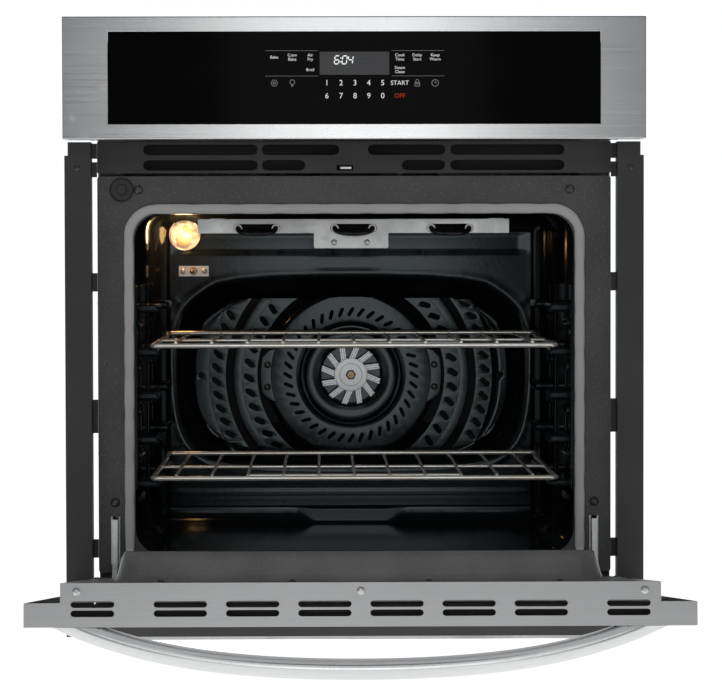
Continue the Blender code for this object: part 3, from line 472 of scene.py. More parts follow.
# turns that lay an outline's own X and Y on two of the oven's axes
PLANES = {"XZ": Matrix.Rotation(math.pi / 2, 4, "X"),
          "YZ": Matrix.Rotation(math.pi / 2, 4, "Z") @ Matrix.Rotation(math.pi / 2, 4, "X"),
          "XY": Matrix.Identity(4)}


class Shape:
    """One piece's solids, gathered in a bmesh."""

    def __init__(self):
        self.bm = bmesh.new()

    def add_mesh(self, mesh, matrix=None, weld=0.0):
        """A copy of a mesh, placed; its doubled vertices are welded first."""
        part = bmesh.new()
        part.from_mesh(mesh)
        if weld:
            bmesh.ops.remove_doubles(part, verts=part.verts, dist=weld)
        if matrix is not None:
            bmesh.ops.transform(part, matrix=matrix, verts=part.verts)
            if matrix.determinant() < 0:
                bmesh.ops.reverse_faces(part, faces=part.faces)
        placed = bpy.data.meshes.new("placed")
        part.to_mesh(placed)
        part.free()
        self.bm.from_mesh(placed)
        bpy.data.meshes.remove(placed)

    def add(self, other, places=(None,)):
        """A copy of another Shape at each place; the other one is used up."""
        mesh = bpy.data.meshes.new("part")
        other.bm.to_mesh(mesh)
        other.bm.free()
        for place in places:
            self.add_mesh(mesh, place)
        bpy.data.meshes.remove(mesh)

    def add_curve(self, curve, matrix=None):
        """A curve as a mesh, with its caps welded on."""
        holder = bpy.data.objects.new("outline", curve)
        mesh = bpy.data.meshes.new_from_object(holder)
        bpy.data.objects.remove(holder)
        bpy.data.curves.remove(curve)
        self.add_mesh(mesh, matrix, 0.000005)
        bpy.data.meshes.remove(mesh)

    def box(self, low, high, bevel=0.0, segments=2):
        low, high = Vector(low), Vector(high)
        size = Matrix.Diagonal((*(high - low), 1.0))
        made = bmesh.ops.create_cube(self.bm, size=1.0,
                                     matrix=Matrix.Translation((low + high) / 2) @ size)["verts"]
        if bevel:
            bmesh.ops.bevel(self.bm, geom=touching(made, "link_edges"), offset=bevel,
                            segments=segments, profile=0.5, affect="EDGES", material=-1)
        return self

    def plate(self, outlines, low, high, plane="XZ", bevel=0.0):
        """A flat piece from its outline and its holes, from low to high in thickness."""
        curve = bpy.data.curves.new("plate", "CURVE")
        curve.dimensions, curve.fill_mode = "2D", "BOTH"
        curve.extrude = (high - low) / 2 - bevel
        curve.bevel_depth, curve.bevel_resolution, curve.offset = bevel, 1, -bevel
        for outline in outlines:
            spline = curve.splines.new("POLY")
            spline.points.add(len(outline) - 1)
            for point, (u, v) in zip(spline.points, outline):
                point.co = (u, v, 0, 1)
            spline.use_cyclic_u = True
        middle = [0.0, 0.0, 0.0]
        middle[3 - "XYZ".index(plane[0]) - "XYZ".index(plane[1])] = (low + high) / 2
        self.add_curve(curve, Matrix.Translation(middle) @ PLANES[plane])
        return self

    def tubes(self, paths, radius, sides=12, cyclic=False):
        """Round bars along paths."""
        curve = bpy.data.curves.new("bar", "CURVE")
        curve.dimensions, curve.bevel_depth = "3D", radius
        curve.bevel_resolution, curve.use_fill_caps = sides // 2 - 2, not cyclic
        for path in paths:
            spline = curve.splines.new("POLY")
            spline.points.add(len(path) - 1)
            for point, at in zip(spline.points, path):
                point.co = (*at, 1)
            spline.use_cyclic_u = cyclic
        self.add_curve(curve)
        return self

    def turned(self, profile, matrix, steps=32):
        """(radius, height) pairs spun about their own Z, then placed."""
        verts = [self.bm.verts.new((radius, 0.0, height)) for radius, height in profile]
        edges = [self.bm.edges.new(pair) for pair in zip(verts, verts[1:])]
        bmesh.ops.spin(self.bm, geom=verts + edges, cent=(0, 0, 0), axis=(0, 0, 1),
                       dvec=(0, 0, 0), angle=math.tau, steps=steps, use_merge=True,
                       use_duplicate=False)
        made = self.linked(verts)
        bmesh.ops.remove_doubles(self.bm, verts=made, dist=0.000005)
        made = [vert for vert in made if vert.is_valid]
        bmesh.ops.recalc_face_normals(self.bm, faces=touching(made, "link_faces"))
        bmesh.ops.transform(self.bm, matrix=matrix, verts=made)
        return self

    def linked(self, verts):
        """Every vertex joined to these by edges."""
        seen, todo = dict.fromkeys(verts), list(verts)
        while todo:
            fresh = [vert for edge in todo.pop().link_edges for vert in edge.verts
                     if vert not in seen]
            seen.update(dict.fromkeys(fresh))
            todo += fresh
        return list(seen)

    def sheet(self, low, high, pitch, height, plane="XZ", level=0.0, facing=-1):
        """A pressed sheet over a rectangle: height(u, v) moves it off its level."""
        size = (high[0] - low[0], high[1] - low[1])
        counts = [max(2, round(length / pitch)) for length in size]
        middle = ((low[0] + high[0]) / 2, (low[1] + high[1]) / 2)
        made = bmesh.ops.create_grid(
            self.bm, x_segments=counts[0], y_segments=counts[1], size=0.5,
            matrix=Matrix.Translation((*middle, 0)) @ Matrix.Diagonal((*size, 1, 1)))["verts"]
        axes = ["XYZ".index(plane[0]), "XYZ".index(plane[1])]
        third = 3 - sum(axes)
        faces = touching(made, "link_faces")
        for vert in made:
            u, v = vert.co.x, vert.co.y
            place = [0.0, 0.0, 0.0]
            place[axes[0]], place[axes[1]] = u, v
            place[third] = level + height(u, v)
            vert.co = place
        bmesh.ops.recalc_face_normals(self.bm, faces=faces)
        faces[0].normal_update()
        if faces[0].normal[third] * facing < 0:
            bmesh.ops.reverse_faces(self.bm, faces=faces)
        return self

    def move(self, matrix):
        bmesh.ops.transform(self.bm, matrix=matrix, verts=self.bm.verts)
        return self

    def done(self, name, finish, body="oven", slot=None, replaces=(), sharp=35.0, wall=0.0):
        """The finished object, at the origin, riding on its body."""
        mesh = bpy.data.meshes.new(name)
        self.bm.normal_update()
        self.bm.to_mesh(mesh)
        self.bm.free()
        mesh.shade_smooth()
        mesh.set_sharp_from_angle(angle=math.radians(sharp))
        mesh.materials.append(FINISHES[finish])
        item = bpy.data.objects.new(name, mesh)
        bpy.context.scene.collection.objects.link(item)
        even = item.modifiers.new("flat_faces", "WEIGHTED_NORMAL")
        even.keep_sharp = True
        if wall:
            thick = item.modifiers.new("wall", "SOLIDIFY")
            thick.thickness, thick.offset, thick.use_even_offset = wall, -1.0, False
        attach(item, body)
        if replaces:
            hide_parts(*replaces)
        return item


def cut_mesh(solid, cutter):
    """The mesh of one Shape with another taken out of it."""
    items = []
    for shape in (solid, cutter):
        mesh = bpy.data.meshes.new("cutting")
        shape.bm.to_mesh(mesh)
        shape.bm.free()
        item = bpy.data.objects.new("cutting", mesh)
        bpy.context.scene.collection.objects.link(item)
        items.append(item)
    step = items[0].modifiers.new("cut", "BOOLEAN")
    step.operation, step.solver, step.object = "DIFFERENCE", "EXACT", items[1]
    seen = items[0].evaluated_get(bpy.context.evaluated_depsgraph_get())
    result = bpy.data.meshes.new_from_object(seen)
    for item in items:
        mesh = item.data
        bpy.data.objects.remove(item)
        bpy.data.meshes.remove(mesh)
    return result


FRONTWARD = Matrix.Rotation(math.pi / 2, 4, "X")        # a turned piece's +Z becomes -Y
BACKWARD = Matrix.Rotation(-math.pi / 2, 4, "X")
RIGHTWARD = Matrix.Rotation(math.pi / 2, 4, "Y")
LEFTWARD = Matrix.Rotation(-math.pi / 2, 4, "Y")
UPWARD = Matrix.Identity(4)


def at(place, turn=UPWARD, scale=1.0):
    return Matrix.Translation(place) @ turn @ Matrix.Scale(scale, 4)


def screw_head():
    """A pan head of radius 1 with a cross recess, standing on Z = 0."""
    head = Shape().turned([(0.0, 0.62), (0.35, 0.60), (0.70, 0.48), (0.93, 0.24), (1.0, 0.05),
                           (1.0, -0.05), (0.0, -0.05)], UPWARD, 24)
    thin, long = 0.15, 0.60
    corner = [(long, -thin), (long, thin), (thin, thin)]
    cross = []
    for turn in range(4):
        c, d = ((1, 0), (0, 1), (-1, 0), (0, -1))[turn]
        cross += [(c * u - d * v, d * u + c * v) for u, v in corner]
    cross = Shape().plate([cross], 0.28, 1.0, "XY").move(Matrix.Rotation(0.35, 4, "Z"))
    return cut_mesh(head, cross)


def screws(name, places, radius, turn, finish="screw", body="oven", slot=None, after=None):
    """Screw heads at places, all facing the same way."""
    template = screw_head()
    shape = Shape()
    for place in places:
        shape.add_mesh(template, at(place, turn, radius))
    bpy.data.meshes.remove(template)
    if after is not None:
        shape.move(after)
    return shape.done(name, finish, body, slot)


# ---- Panel ----------------------------------------------------------------------------
class OvenColours(bpy.types.PropertyGroup):
    """Colours of the oven's finishes."""
    stainless: bpy.props.FloatVectorProperty(
        name="Stainless steel", description="Fascia, door and handle", subtype="COLOR",
        default=(0.66, 0.665, 0.67), min=0.0, max=1.0)
    enamel: bpy.props.FloatVectorProperty(
        name="Cavity enamel", description="Inside of the oven and its fan cover",
        subtype="COLOR", default=(0.0075, 0.0095, 0.0115), min=0.0, max=1.0)
    panel: bpy.props.FloatVectorProperty(
        name="Control glass", description="Black glass of the control panel", subtype="COLOR",
        default=(0.0028, 0.0030, 0.0030), min=0.0, max=1.0)
    lamp: bpy.props.FloatVectorProperty(
        name="Lamp", description="Light of the cavity lamp", subtype="COLOR",
        default=(1.0, 0.50, 0.17), min=0.0, max=1.0)


class OvenSizes(bpy.types.PropertyGroup):
    """Sizes of the fine pieces."""
    print_height: bpy.props.FloatProperty(
        name="Key numbers", description="Height of the numbers on the control panel",
        default=0.0092, unit="LENGTH")
    label_height: bpy.props.FloatProperty(
        name="Key labels", description="Height of the words on the control panel",
        default=0.0050, unit="LENGTH")
    frame_screw: bpy.props.FloatProperty(
        name="Frame screws", description="Radius of the screw heads on the front frame",
        default=0.0056, unit="LENGTH")
    trim_screw: bpy.props.FloatProperty(
        name="Door screws", description="Radius of the screw heads on the door's top edge",
        default=0.0043, unit="LENGTH")
    recess_shoulder: bpy.props.FloatProperty(
        name="Recess shoulder", description="Width of the slope round the fan recess",
        default=0.030, unit="LENGTH")
    ring_slots: bpy.props.IntProperty(
        name="Ring slots", description="Slots in the ring round the fan", default=40)
    fan_blades: bpy.props.IntProperty(
        name="Fan blades", description="Blades on the convection fan", default=12)
    enamel_fillet: bpy.props.FloatProperty(
        name="Ledge rounding", description="Rounding on the rack ledges",
        default=0.0042, unit="LENGTH")


class OvenStage(bpy.types.PropertyGroup):
    """Studio round the oven."""
    backdrop: bpy.props.FloatProperty(
        name="Backdrop", description="Brightness of the white behind the oven", default=1.08)
    room: bpy.props.FloatProperty(
        name="Room", description="Brightness of the room in front of the oven", default=0.10)
    floor_front: bpy.props.FloatProperty(
        name="Floor in front", description="Glow of the floor towards the camera",
        default=0.34)
    key: bpy.props.FloatProperty(
        name="Key light", description="Power of the high soft box", default=22.0, unit="POWER")
    card: bpy.props.FloatProperty(
        name="Camera card", description="Power of the soft box by the camera", default=6.0,
        unit="POWER")
    upper: bpy.props.FloatProperty(
        name="Upper card", description="Power of the soft box above the camera", default=4.0,
        unit="POWER")
    cavity_lamp: bpy.props.FloatProperty(
        name="Cavity lamp", description="Power of the lamp in the cavity", default=0.16,
        unit="POWER")


# ---- Finishes on the ready-made solids --------------------------------------------------
DRESSED = {
    "aluminised": ["base_pan", "side_panel_left", "side_panel_right", "top_cover", "rear_panel",
                   "cooling_duct_floor", "blower_housing", "convection_motor",
                   "door_window_frame", "lamp_housing", "terminal_box"],
    "paint": ["toe_panel", "vent_panel", "side_trim_left", "side_trim_right", "bottom_trim",
              "door_toe_channel"],
    "speckled": ["front_frame"],
    "stainless": ["control_trim"],
    "door_steel": ["door_skin", "door_vent_trim"],
    "panel_glass": ["control_glass"],
    "door_glass": ["door_outer_glass"],
    "clear_glass": ["door_middle_glass", "door_inner_glass"],
    "plastic": ["control_housing", "display_module", "blower_motor", "latch_motor",
                "door_switch_bushing", "door_switch_plunger"],
    "board": ["control_board"],
    "galvanised": ["hinge_arm_left", "hinge_arm_right", "hinge_body_left", "hinge_body_right",
                   "hinge_receiver_left", "hinge_receiver_right", "latch_hook",
                   "temperature_sensor"],
    "fan_steel": ["blower_wheel"],
    "sheath": ["bake_element"],
    "bulb": ["lamp_bulb"],
    "wool": ["insulation_blanket", "door_insulation"],
}


class OVEN_OT_finishes(bpy.types.Operator):
    """Make every finish and put it on the solids that keep their shape"""
    bl_idname = "oven.finishes"
    bl_label = "Finishes"

    def execute(self, context):
        make_finishes(context.scene.oven_colours)
        for finish, names in DRESSED.items():
            for name in names:
                slots = NODES[name].data.materials
                if not slots:
                    slots.append(None)
                for number in range(len(slots)):
                    slots[number] = FINISHES[finish]
        return {"FINISHED"}


# ---- Controls --------------------------------------------------------------------------
INK = 0.00004                       # thickness of a printed mark


def hoop(u, v, radius, sides, line):
    """A ring of ink, and the hole in it."""
    return [ring(u, v, radius, sides), ring(u, v, radius - line, sides)]


def lettering(shape, words, x, z, size, front):
    """Printed words, centred on a place, facing the front."""
    for row, line in enumerate(words.split("/")):
        curve = bpy.data.curves.new("print", "FONT")
        curve.body, curve.size, curve.extrude = line, size, 0.00003
        curve.align_x, curve.align_y, curve.resolution_u = "CENTER", "CENTER", 3
        lift = (len(words.split("/")) - 1) / 2 - row
        shape.add_curve(curve, at((x, front, z + lift * size * 0.98)) @ PLANES["XZ"])


SEGMENTS = {"0": "abcdef", "4": "bcfg", "6": "acdefg"}


def digit(lit, unlit, mark, x, z, height, front):
    """Seven bars; the ones that the digit doesn't use go to the unlit shape."""
    wide, bar, slant = height * 0.50, height * 0.105, 0.12
    bars = {"a": (0, 1, 0), "b": (1, 0.5, 1), "c": (1, -0.5, 1), "d": (0, -1, 0),
            "e": (-1, -0.5, 1), "f": (-1, 0.5, 1), "g": (0, 0, 0)}
    for name, (u, v, upright) in bars.items():
        middle = (x + u * wide / 2 + slant * v * height / 2, z + v * height / 2 * 0.9)
        length = (height * 0.45 if upright else wide) - bar * 0.8
        half_long, half_thin = length / 2, bar / 2
        points = [(-half_long, 0), (-half_long + half_thin, -half_thin),
                  (half_long - half_thin, -half_thin), (half_long, 0),
                  (half_long - half_thin, half_thin), (-half_long + half_thin, half_thin)]
        if upright:
            points = [(-b + a * slant, a) for a, b in points]
        outline = [(middle[0] + a, middle[1] + b) for a, b in points]
        target = lit if name in SEGMENTS.get(mark, "") else unlit
        target.plate([outline], front - INK, front)


class OVEN_OT_controls(bpy.types.Operator):
    """Print the control panel and light its display"""
    bl_idname = "oven.controls"
    bl_label = "Control panel"

    def execute(self, context):
        sizes = context.scene.oven_sizes
        low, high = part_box("control_glass")
        middle, front = (low.z + high.z) / 2, low.y - 0.00008
        screen = Shape().plate([rounded(0.0408, middle + 0.0034, middle + 0.0303, 0.0006)],
                               front - INK, front)
        screen.done("display_window", "screen", slot="black_glass")
        lit, unlit = Shape(), Shape()
        ink = front - 0.00005
        clock = middle + 0.0208
        for mark, x in (("6", -0.0206), ("0", -0.0116), ("4", -0.0046), (" ", 0.0045),
                        (" ", 0.0122), (" ", 0.0190)):
            digit(lit, unlit, mark, x, clock, 0.0104, ink)
        for level in (-0.0022, 0.0022):
            lit.plate([ring(-0.0161 + level * 0.12, clock + level, 0.0007, 10)], ink - INK, ink)
        for row in range(3):
            unlit.plate([rounded(0.0300, middle + 0.0062 + row * 0.0030,
                                 middle + 0.0066 + row * 0.0030, middle=-0.0010)],
                        ink - INK, ink)
        lit.done("display_digits", "lit", slot="black_glass")
        unlit.done("display_ghosts", "unlit", slot="black_glass")

        white, grey, red = Shape(), Shape(), Shape()
        columns = (-0.0324, -0.0158, 0.0006, 0.0168, 0.0331)
        first, second = middle - 0.0063, middle - 0.0215
        for row, numbers in ((first, "12345"), (second, "67890")):
            for x, number in zip(columns, numbers):
                lettering(white, number, x, row, sizes.print_height, front)
        lettering(white, "START", 0.0532, first, sizes.print_height * 0.80, front)
        lettering(red, "OFF", 0.0532, second, sizes.print_height * 0.80, front)
        upper, lower = middle + 0.0239, middle + 0.0092
        for words, x, row in (("Bake", -0.0941, upper), ("Conv/Bake", -0.0730, upper),
                              ("Air/Fry", -0.0519, upper), ("Broil", -0.0519, lower),
                              ("Cook/Time", 0.0533, upper), ("Steam/Clean", 0.0533, lower),
                              ("Delay/Start", 0.0737, upper), ("Keep/Warm", 0.0948, upper)):
            lettering(white, words, x, row, sizes.label_height, front)

        line, heater, lamp, lock, timer = 0.0006, -0.0941, -0.0730, 0.0737, 0.0948
        body = (first - 0.0040, first + 0.0008)
        shackle = (lock, first + 0.0014)
        icons = [[rounded(0.0310, middle + level, middle + level + 0.0003, middle=x)]
                 for x in (-0.0736, 0.0746) for level in (0.0315, 0.0018)]
        icons += [hoop(heater, first, 0.0042, 6, line), hoop(heater, first, 0.0016, 14, line),
                  hoop(lamp, first + 0.0010, 0.0031, 20, line)]
        icons += [[rounded(0.0013, first + drop, first + drop + line, middle=lamp)]
                  for drop in (-0.0027, -0.0040)]
        icons += [[rounded(0.0030, *body, 0.0005, lock),
                   rounded(0.0030 - line, body[0] + line, body[1] - line, 0.0002, lock)],
                  [stadium(shackle, 0.0060, 0.0042, math.pi / 2),
                   stadium(shackle, 0.0060 - 2 * line, 0.0042 - 2 * line, math.pi / 2)],
                  hoop(timer, first, 0.0042, 24, line)]
        icons += [[rounded(width, first + v - tall / 2, first + v + tall / 2,
                           middle=timer + u)]
                  for width, tall, u, v in ((0.0003, 0.0026, 0, 0.0013),
                                            (0.0010, 0.0006, 0.0009, 0))]
        for icon in icons:
            grey.plate(icon, front - INK, front)
        white.done("panel_print", "white_ink", slot="black_glass")
        grey.done("panel_icons", "grey_ink", slot="black_glass")
        red.done("panel_off_print", "red_ink", slot="black_glass")
        return {"FINISHED"}


# ---- Front frame -----------------------------------------------------------------------
class OVEN_OT_front_frame(bpy.types.Operator):
    """Lay the woven seal round the mouth and put the screws in the front frame"""
    bl_idname = "oven.front_frame"
    bl_label = "Seal and frame screws"

    def seal(self, width, front, rear, half, top, foot):
        """The woven tube up one side of the mouth, over its top and down the other side."""
        radius, weave, around = 0.0330, 0.0225, 16
        path = [(half, foot + n * (top - radius - foot) / 90) for n in range(90)]
        path += [(half - radius + radius * math.cos(a), top - radius + radius * math.sin(a))
                 for a in (math.pi / 2 * n / 14 for n in range(15))]
        path += [(half - radius - n * (half - radius) / 60, top) for n in range(1, 61)]
        path += [(-x, z) for x, z in path[-2::-1]]
        lengths = [0.0]
        for a, b in zip(path, path[1:]):
            lengths.append(lengths[-1] + math.dist(a, b))
        shape = Shape()
        uv = shape.bm.loops.layers.uv.new("UVMap")
        bmesh.ops.create_grid(shape.bm, x_segments=len(path) - 1, y_segments=around, size=0.5,
                              calc_uvs=False)
        steps = {vert: (round((vert.co.x + 0.5) * (len(path) - 1)),
                        round((vert.co.y + 0.5) * around)) for vert in shape.bm.verts}
        for face in shape.bm.faces:
            for loop in face.loops:
                along, turn = steps[loop.vert]
                loop[uv].uv = (lengths[along] / weave, turn / around)
        deep = (rear - front) / 2
        for vert, (along, turn) in steps.items():
            before, after = path[max(0, along - 1)], path[min(len(path) - 1, along + 1)]
            run = (Vector(after) - Vector(before)).normalized()
            side = Vector((run.y, -run.x))
            angle = math.tau * turn / around - math.pi / 2
            pinch = 1.0 - 0.10 * (math.sin(lengths[along] * 61.0) ** 8)
            across = width / 2 * math.cos(angle) * pinch
            vert.co = (path[along][0] + side.x * across,
                       (rear + front) / 2 - deep * math.sin(angle),
                       path[along][1] + side.y * across)
        bmesh.ops.remove_doubles(shape.bm, verts=shape.bm.verts, dist=0.00001)
        ends = [edge for edge in shape.bm.edges if edge.is_boundary]
        bmesh.ops.holes_fill(shape.bm, edges=ends, sides=0)
        bmesh.ops.recalc_face_normals(shape.bm, faces=shape.bm.faces)
        shape.done("mouth_seal", "seal", slot="woven_seal", replaces=["cavity_gasket"])

    def execute(self, context):
        sizes = context.scene.oven_sizes
        low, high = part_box("cavity_gasket")
        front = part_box("front_frame")[0].y
        width = 0.0117
        half, top, foot = high.x - width / 2, high.z - 0.0050, low.z + 0.0015
        self.seal(width, low.y, front - 0.0002, half, top, foot)

        clips = Shape()
        for sign in (-1, 1):
            clips.box((sign * half - 0.0050, front - 0.0030, foot - 0.0042),
                      (sign * half + 0.0050, front - CLEAR, foot + 0.0022), 0.0009)
        clips.done("seal_clips", "galvanised", slot="galvanised_steel")
        # painted shadow: a near-black ring round the door switch, where the gap round its bushing
        # lies in shade
        low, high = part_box("door_switch_bushing")
        place, radius = ((low.x + high.x) / 2, (low.z + high.z) / 2), (high.x - low.x) / 2
        edge = Shape().plate([ring(*place, radius, 40), ring(*place, radius * 0.89, 40)],
                             low.y - 0.0006, low.y - 0.0001)
        edge.done("switch_ring", "shadow", slot="black_plastic")
        # painted shadow: a near-black sheet behind the vent panel's slots, so they show only shade
        gloom = Shape().box((-0.296, 0.0320, 0.5560), (0.296, 0.0326, 0.5900))
        gloom.done("duct_baffle", "shadow", slot="black_paint")
        heads = [(x, front - CLEAR * 0.5, z) for x, z in ((-0.2570, 0.5350), (0.2570, 0.5350),
                                                         (-0.2862, 0.1620), (0.2862, 0.1620))]
        screws("frame_screws", heads, sizes.frame_screw, FRONTWARD, "dark_screw",
               slot="black_paint")
        trims = [(sign * 0.3275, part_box("side_trim_left")[0].y - 0.0001, z)
                 for sign in (-1, 1) for z in (0.030, 0.560)]
        screws("trim_screws", trims, 0.0034, FRONTWARD, "dark_screw", slot="black_paint")
        return {"FINISHED"}


# ---- Cavity ----------------------------------------------------------------------------
BACK_WALL = 0.485                   # front of the cavity's flat back
CORNER = 0.021                      # rounding along the cavity's edges
FAN_AXIS = Vector(JOINTS["convection_fan_spin"]["pos_m"])


class OVEN_OT_cavity(bpy.types.Operator):
    """Press the cavity from sheet: round corners, the fan recess and the curve from the back to
    the floor
    """
    bl_idname = "oven.cavity"
    bl_label = "Cavity"

    def execute(self, context):
        sizes = context.scene.oven_sizes
        low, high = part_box("cavity_liner")
        wall = 0.0012
        half, floor, ceiling = high.x - wall, low.z + wall, 0.510
        front, deepest = low.y, high.y - wall
        shape = Shape()
        tunnel = bmesh.ops.create_cube(
            shape.bm, size=1.0, matrix=Matrix.Translation(
                (0, (front - 0.05 + BACK_WALL) / 2, (floor + ceiling) / 2))
            @ Matrix.Diagonal((2 * half, BACK_WALL - front + 0.05, ceiling - floor, 1.0)))
        bmesh.ops.bevel(shape.bm, geom=touching(tunnel["verts"], "link_edges"), offset=CORNER,
                        segments=7, profile=0.5, affect="EDGES", material=-1)
        bmesh.ops.bisect_plane(shape.bm, geom=shape.bm.verts[:] + shape.bm.edges[:]
                               + shape.bm.faces[:], plane_co=(0, front, 0),
                               plane_no=(0, -1, 0), clear_outer=True)
        flats = [face for face in shape.bm.faces
                 if face.calc_area() > 0.05 and (face.normal.y > 0.9 or face.normal.z < -0.9)]
        foot_edge = [face for face in shape.bm.faces
                     if abs(face.calc_center_median().x) < half / 2 and face.normal.y > 0.01
                     and face.normal.z < -0.01]
        bmesh.ops.delete(shape.bm, geom=flats + foot_edge, context="FACES")
        bmesh.ops.reverse_faces(shape.bm, faces=shape.bm.faces[:])

        half_flat = half - CORNER
        side, top, foot = 0.236, FAN_AXIS.z + 0.132, FAN_AXIS.z - 0.125
        recess = [(side, 0.250), (side, 0.365), (0.212, 0.398), (0.162, top),
                  (-0.162, top), (-0.212, 0.398), (-side, 0.365), (-side, 0.250),
                  (-0.218, 0.196), (-0.172, foot), (0.172, foot), (0.218, 0.196)]
        recess = soften(recess, 2)
        def back(x, z):
            inside = edge_distance(recess, (x, z))
            depth = (deepest - BACK_WALL) * smoothstep(-0.003, sizes.recess_shoulder, inside)
            lip = 0.0005 * math.exp(-((inside + 0.006) / 0.0035) ** 2)
            margin = smoothstep(half_flat, half_flat - 0.02, abs(x))
            folds = (0.0011 * smoothstep(0.457, 0.462, z)
                     * smoothstep(ceiling - CORNER, ceiling - CORNER - 0.006, z)
                     - 0.0012 * math.exp(-((z - 0.1354) / 0.0016) ** 2))
            return depth - lip * smoothstep(-0.02, -0.004, inside) + folds * margin

        shape.sheet((-half_flat, floor + CORNER), (half_flat, ceiling - CORNER), 0.0034, back,
                    "XZ", BACK_WALL, -1)

        def foot_curve(x, share):
            """The curve from the back to the floor: tight in the middle, wide at the sides."""
            tight = CORNER - 0.0165 * smoothstep(0.078, 0.046, abs(x))
            if share < 0.2:
                return (x, BACK_WALL, floor + CORNER - (CORNER - tight) * share / 0.2)
            if share > 0.8:
                return (x, BACK_WALL - tight - (CORNER - tight) * (share - 0.8) / 0.2, floor)
            angle = math.pi / 2 * (share - 0.2) / 0.6
            return (x, BACK_WALL - tight + tight * math.cos(angle),
                    floor + tight - tight * math.sin(angle))

        strip = Shape()
        bmesh.ops.create_grid(strip.bm, x_segments=120, y_segments=20, size=0.5)
        for vert in strip.bm.verts:
            vert.co = foot_curve(2 * half_flat * vert.co.x, vert.co.y + 0.5)
        bmesh.ops.recalc_face_normals(strip.bm, faces=strip.bm.faces)
        strip.bm.faces.ensure_lookup_table()
        if strip.bm.faces[0].normal.z < 0:
            bmesh.ops.reverse_faces(strip.bm, faces=strip.bm.faces[:])
        shape.add(strip)
        shape.sheet((-half_flat, front), (half_flat, BACK_WALL - CORNER), 0.0100,
                    lambda x, y: 0.0, "XY", floor, 1)
        shape.done("cavity_walls", "cavity", slot="cavity_enamel", replaces=["cavity_liner"],
                   sharp=60, wall=wall)
        return {"FINISHED"}


class OVEN_OT_guides(bpy.types.Operator):
    """Press the ladders of ledges that the racks slide on"""
    bl_idname = "oven.guides"
    bl_label = "Rack guides"

    def execute(self, context):
        fillet = context.scene.oven_sizes.enamel_fillet
        first, pitch, rail = 0.1885, 0.0533, 0.0037
        for side, sign in SIDES.items():
            low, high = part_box(f"rack_guide_{side}")
            outer = max(abs(low.x), abs(high.x))
            inner = min(abs(low.x), abs(high.x))
            shape = Shape()

            def span(a, b):
                return sorted((sign * a, sign * b))

            for start, stop in ((0.060, 0.150), (0.325, 0.415)):
                left, right = span(outer - 0.0045, outer)
                for edge in (start - 0.008, stop + 0.001):
                    shape.box((left, edge, low.z), (right, edge + 0.007, high.z), 0.0022, 3)
                for number in range(5):
                    top = first + pitch * number - rail
                    left, right = span(inner, outer - 0.001)
                    shape.box((left, start, top - 0.0105), (right, stop, top), fillet, 4)
                    left, right = span(outer - 0.0090, outer - 0.001)
                    shape.box((left, start + 0.010, top - 0.0290),
                              (right, stop - 0.010, top - 0.0180), 0.0040, 4)
            left, right = span(outer - 0.0011, outer)
            shape.box((left, low.y, low.z), (right, high.y, high.z), 0.0005)
            shape.done(f"ladder_{side}", "cavity", slot="cavity_enamel",
                       replaces=[f"rack_guide_{side}"], sharp=50)
        return {"FINISHED"}


# ---- Fan -------------------------------------------------------------------------------
def arc(radius, start, stop, steps):
    return [(radius * math.cos(a), radius * math.sin(a))
            for a in (start + (stop - start) * n / steps for n in range(steps + 1))]


def wing(inner, top, outer=None, wide=None):
    """One side's curved strip of the fan cover, cut off flat at its top and foot."""
    reach = math.asin(top / inner)
    back = arc(inner, reach, -reach, 24)
    if outer:
        reach = math.asin(top / outer)
        return back + arc(outer, -reach, reach, 24)
    levels = [top * math.sin(math.pi / 2 * n / 18) for n in range(-18, 19)]
    return back + [(wide * (1 - (abs(z) / 0.118) ** 2.8) ** (1 / 2.8), z) for z in levels]


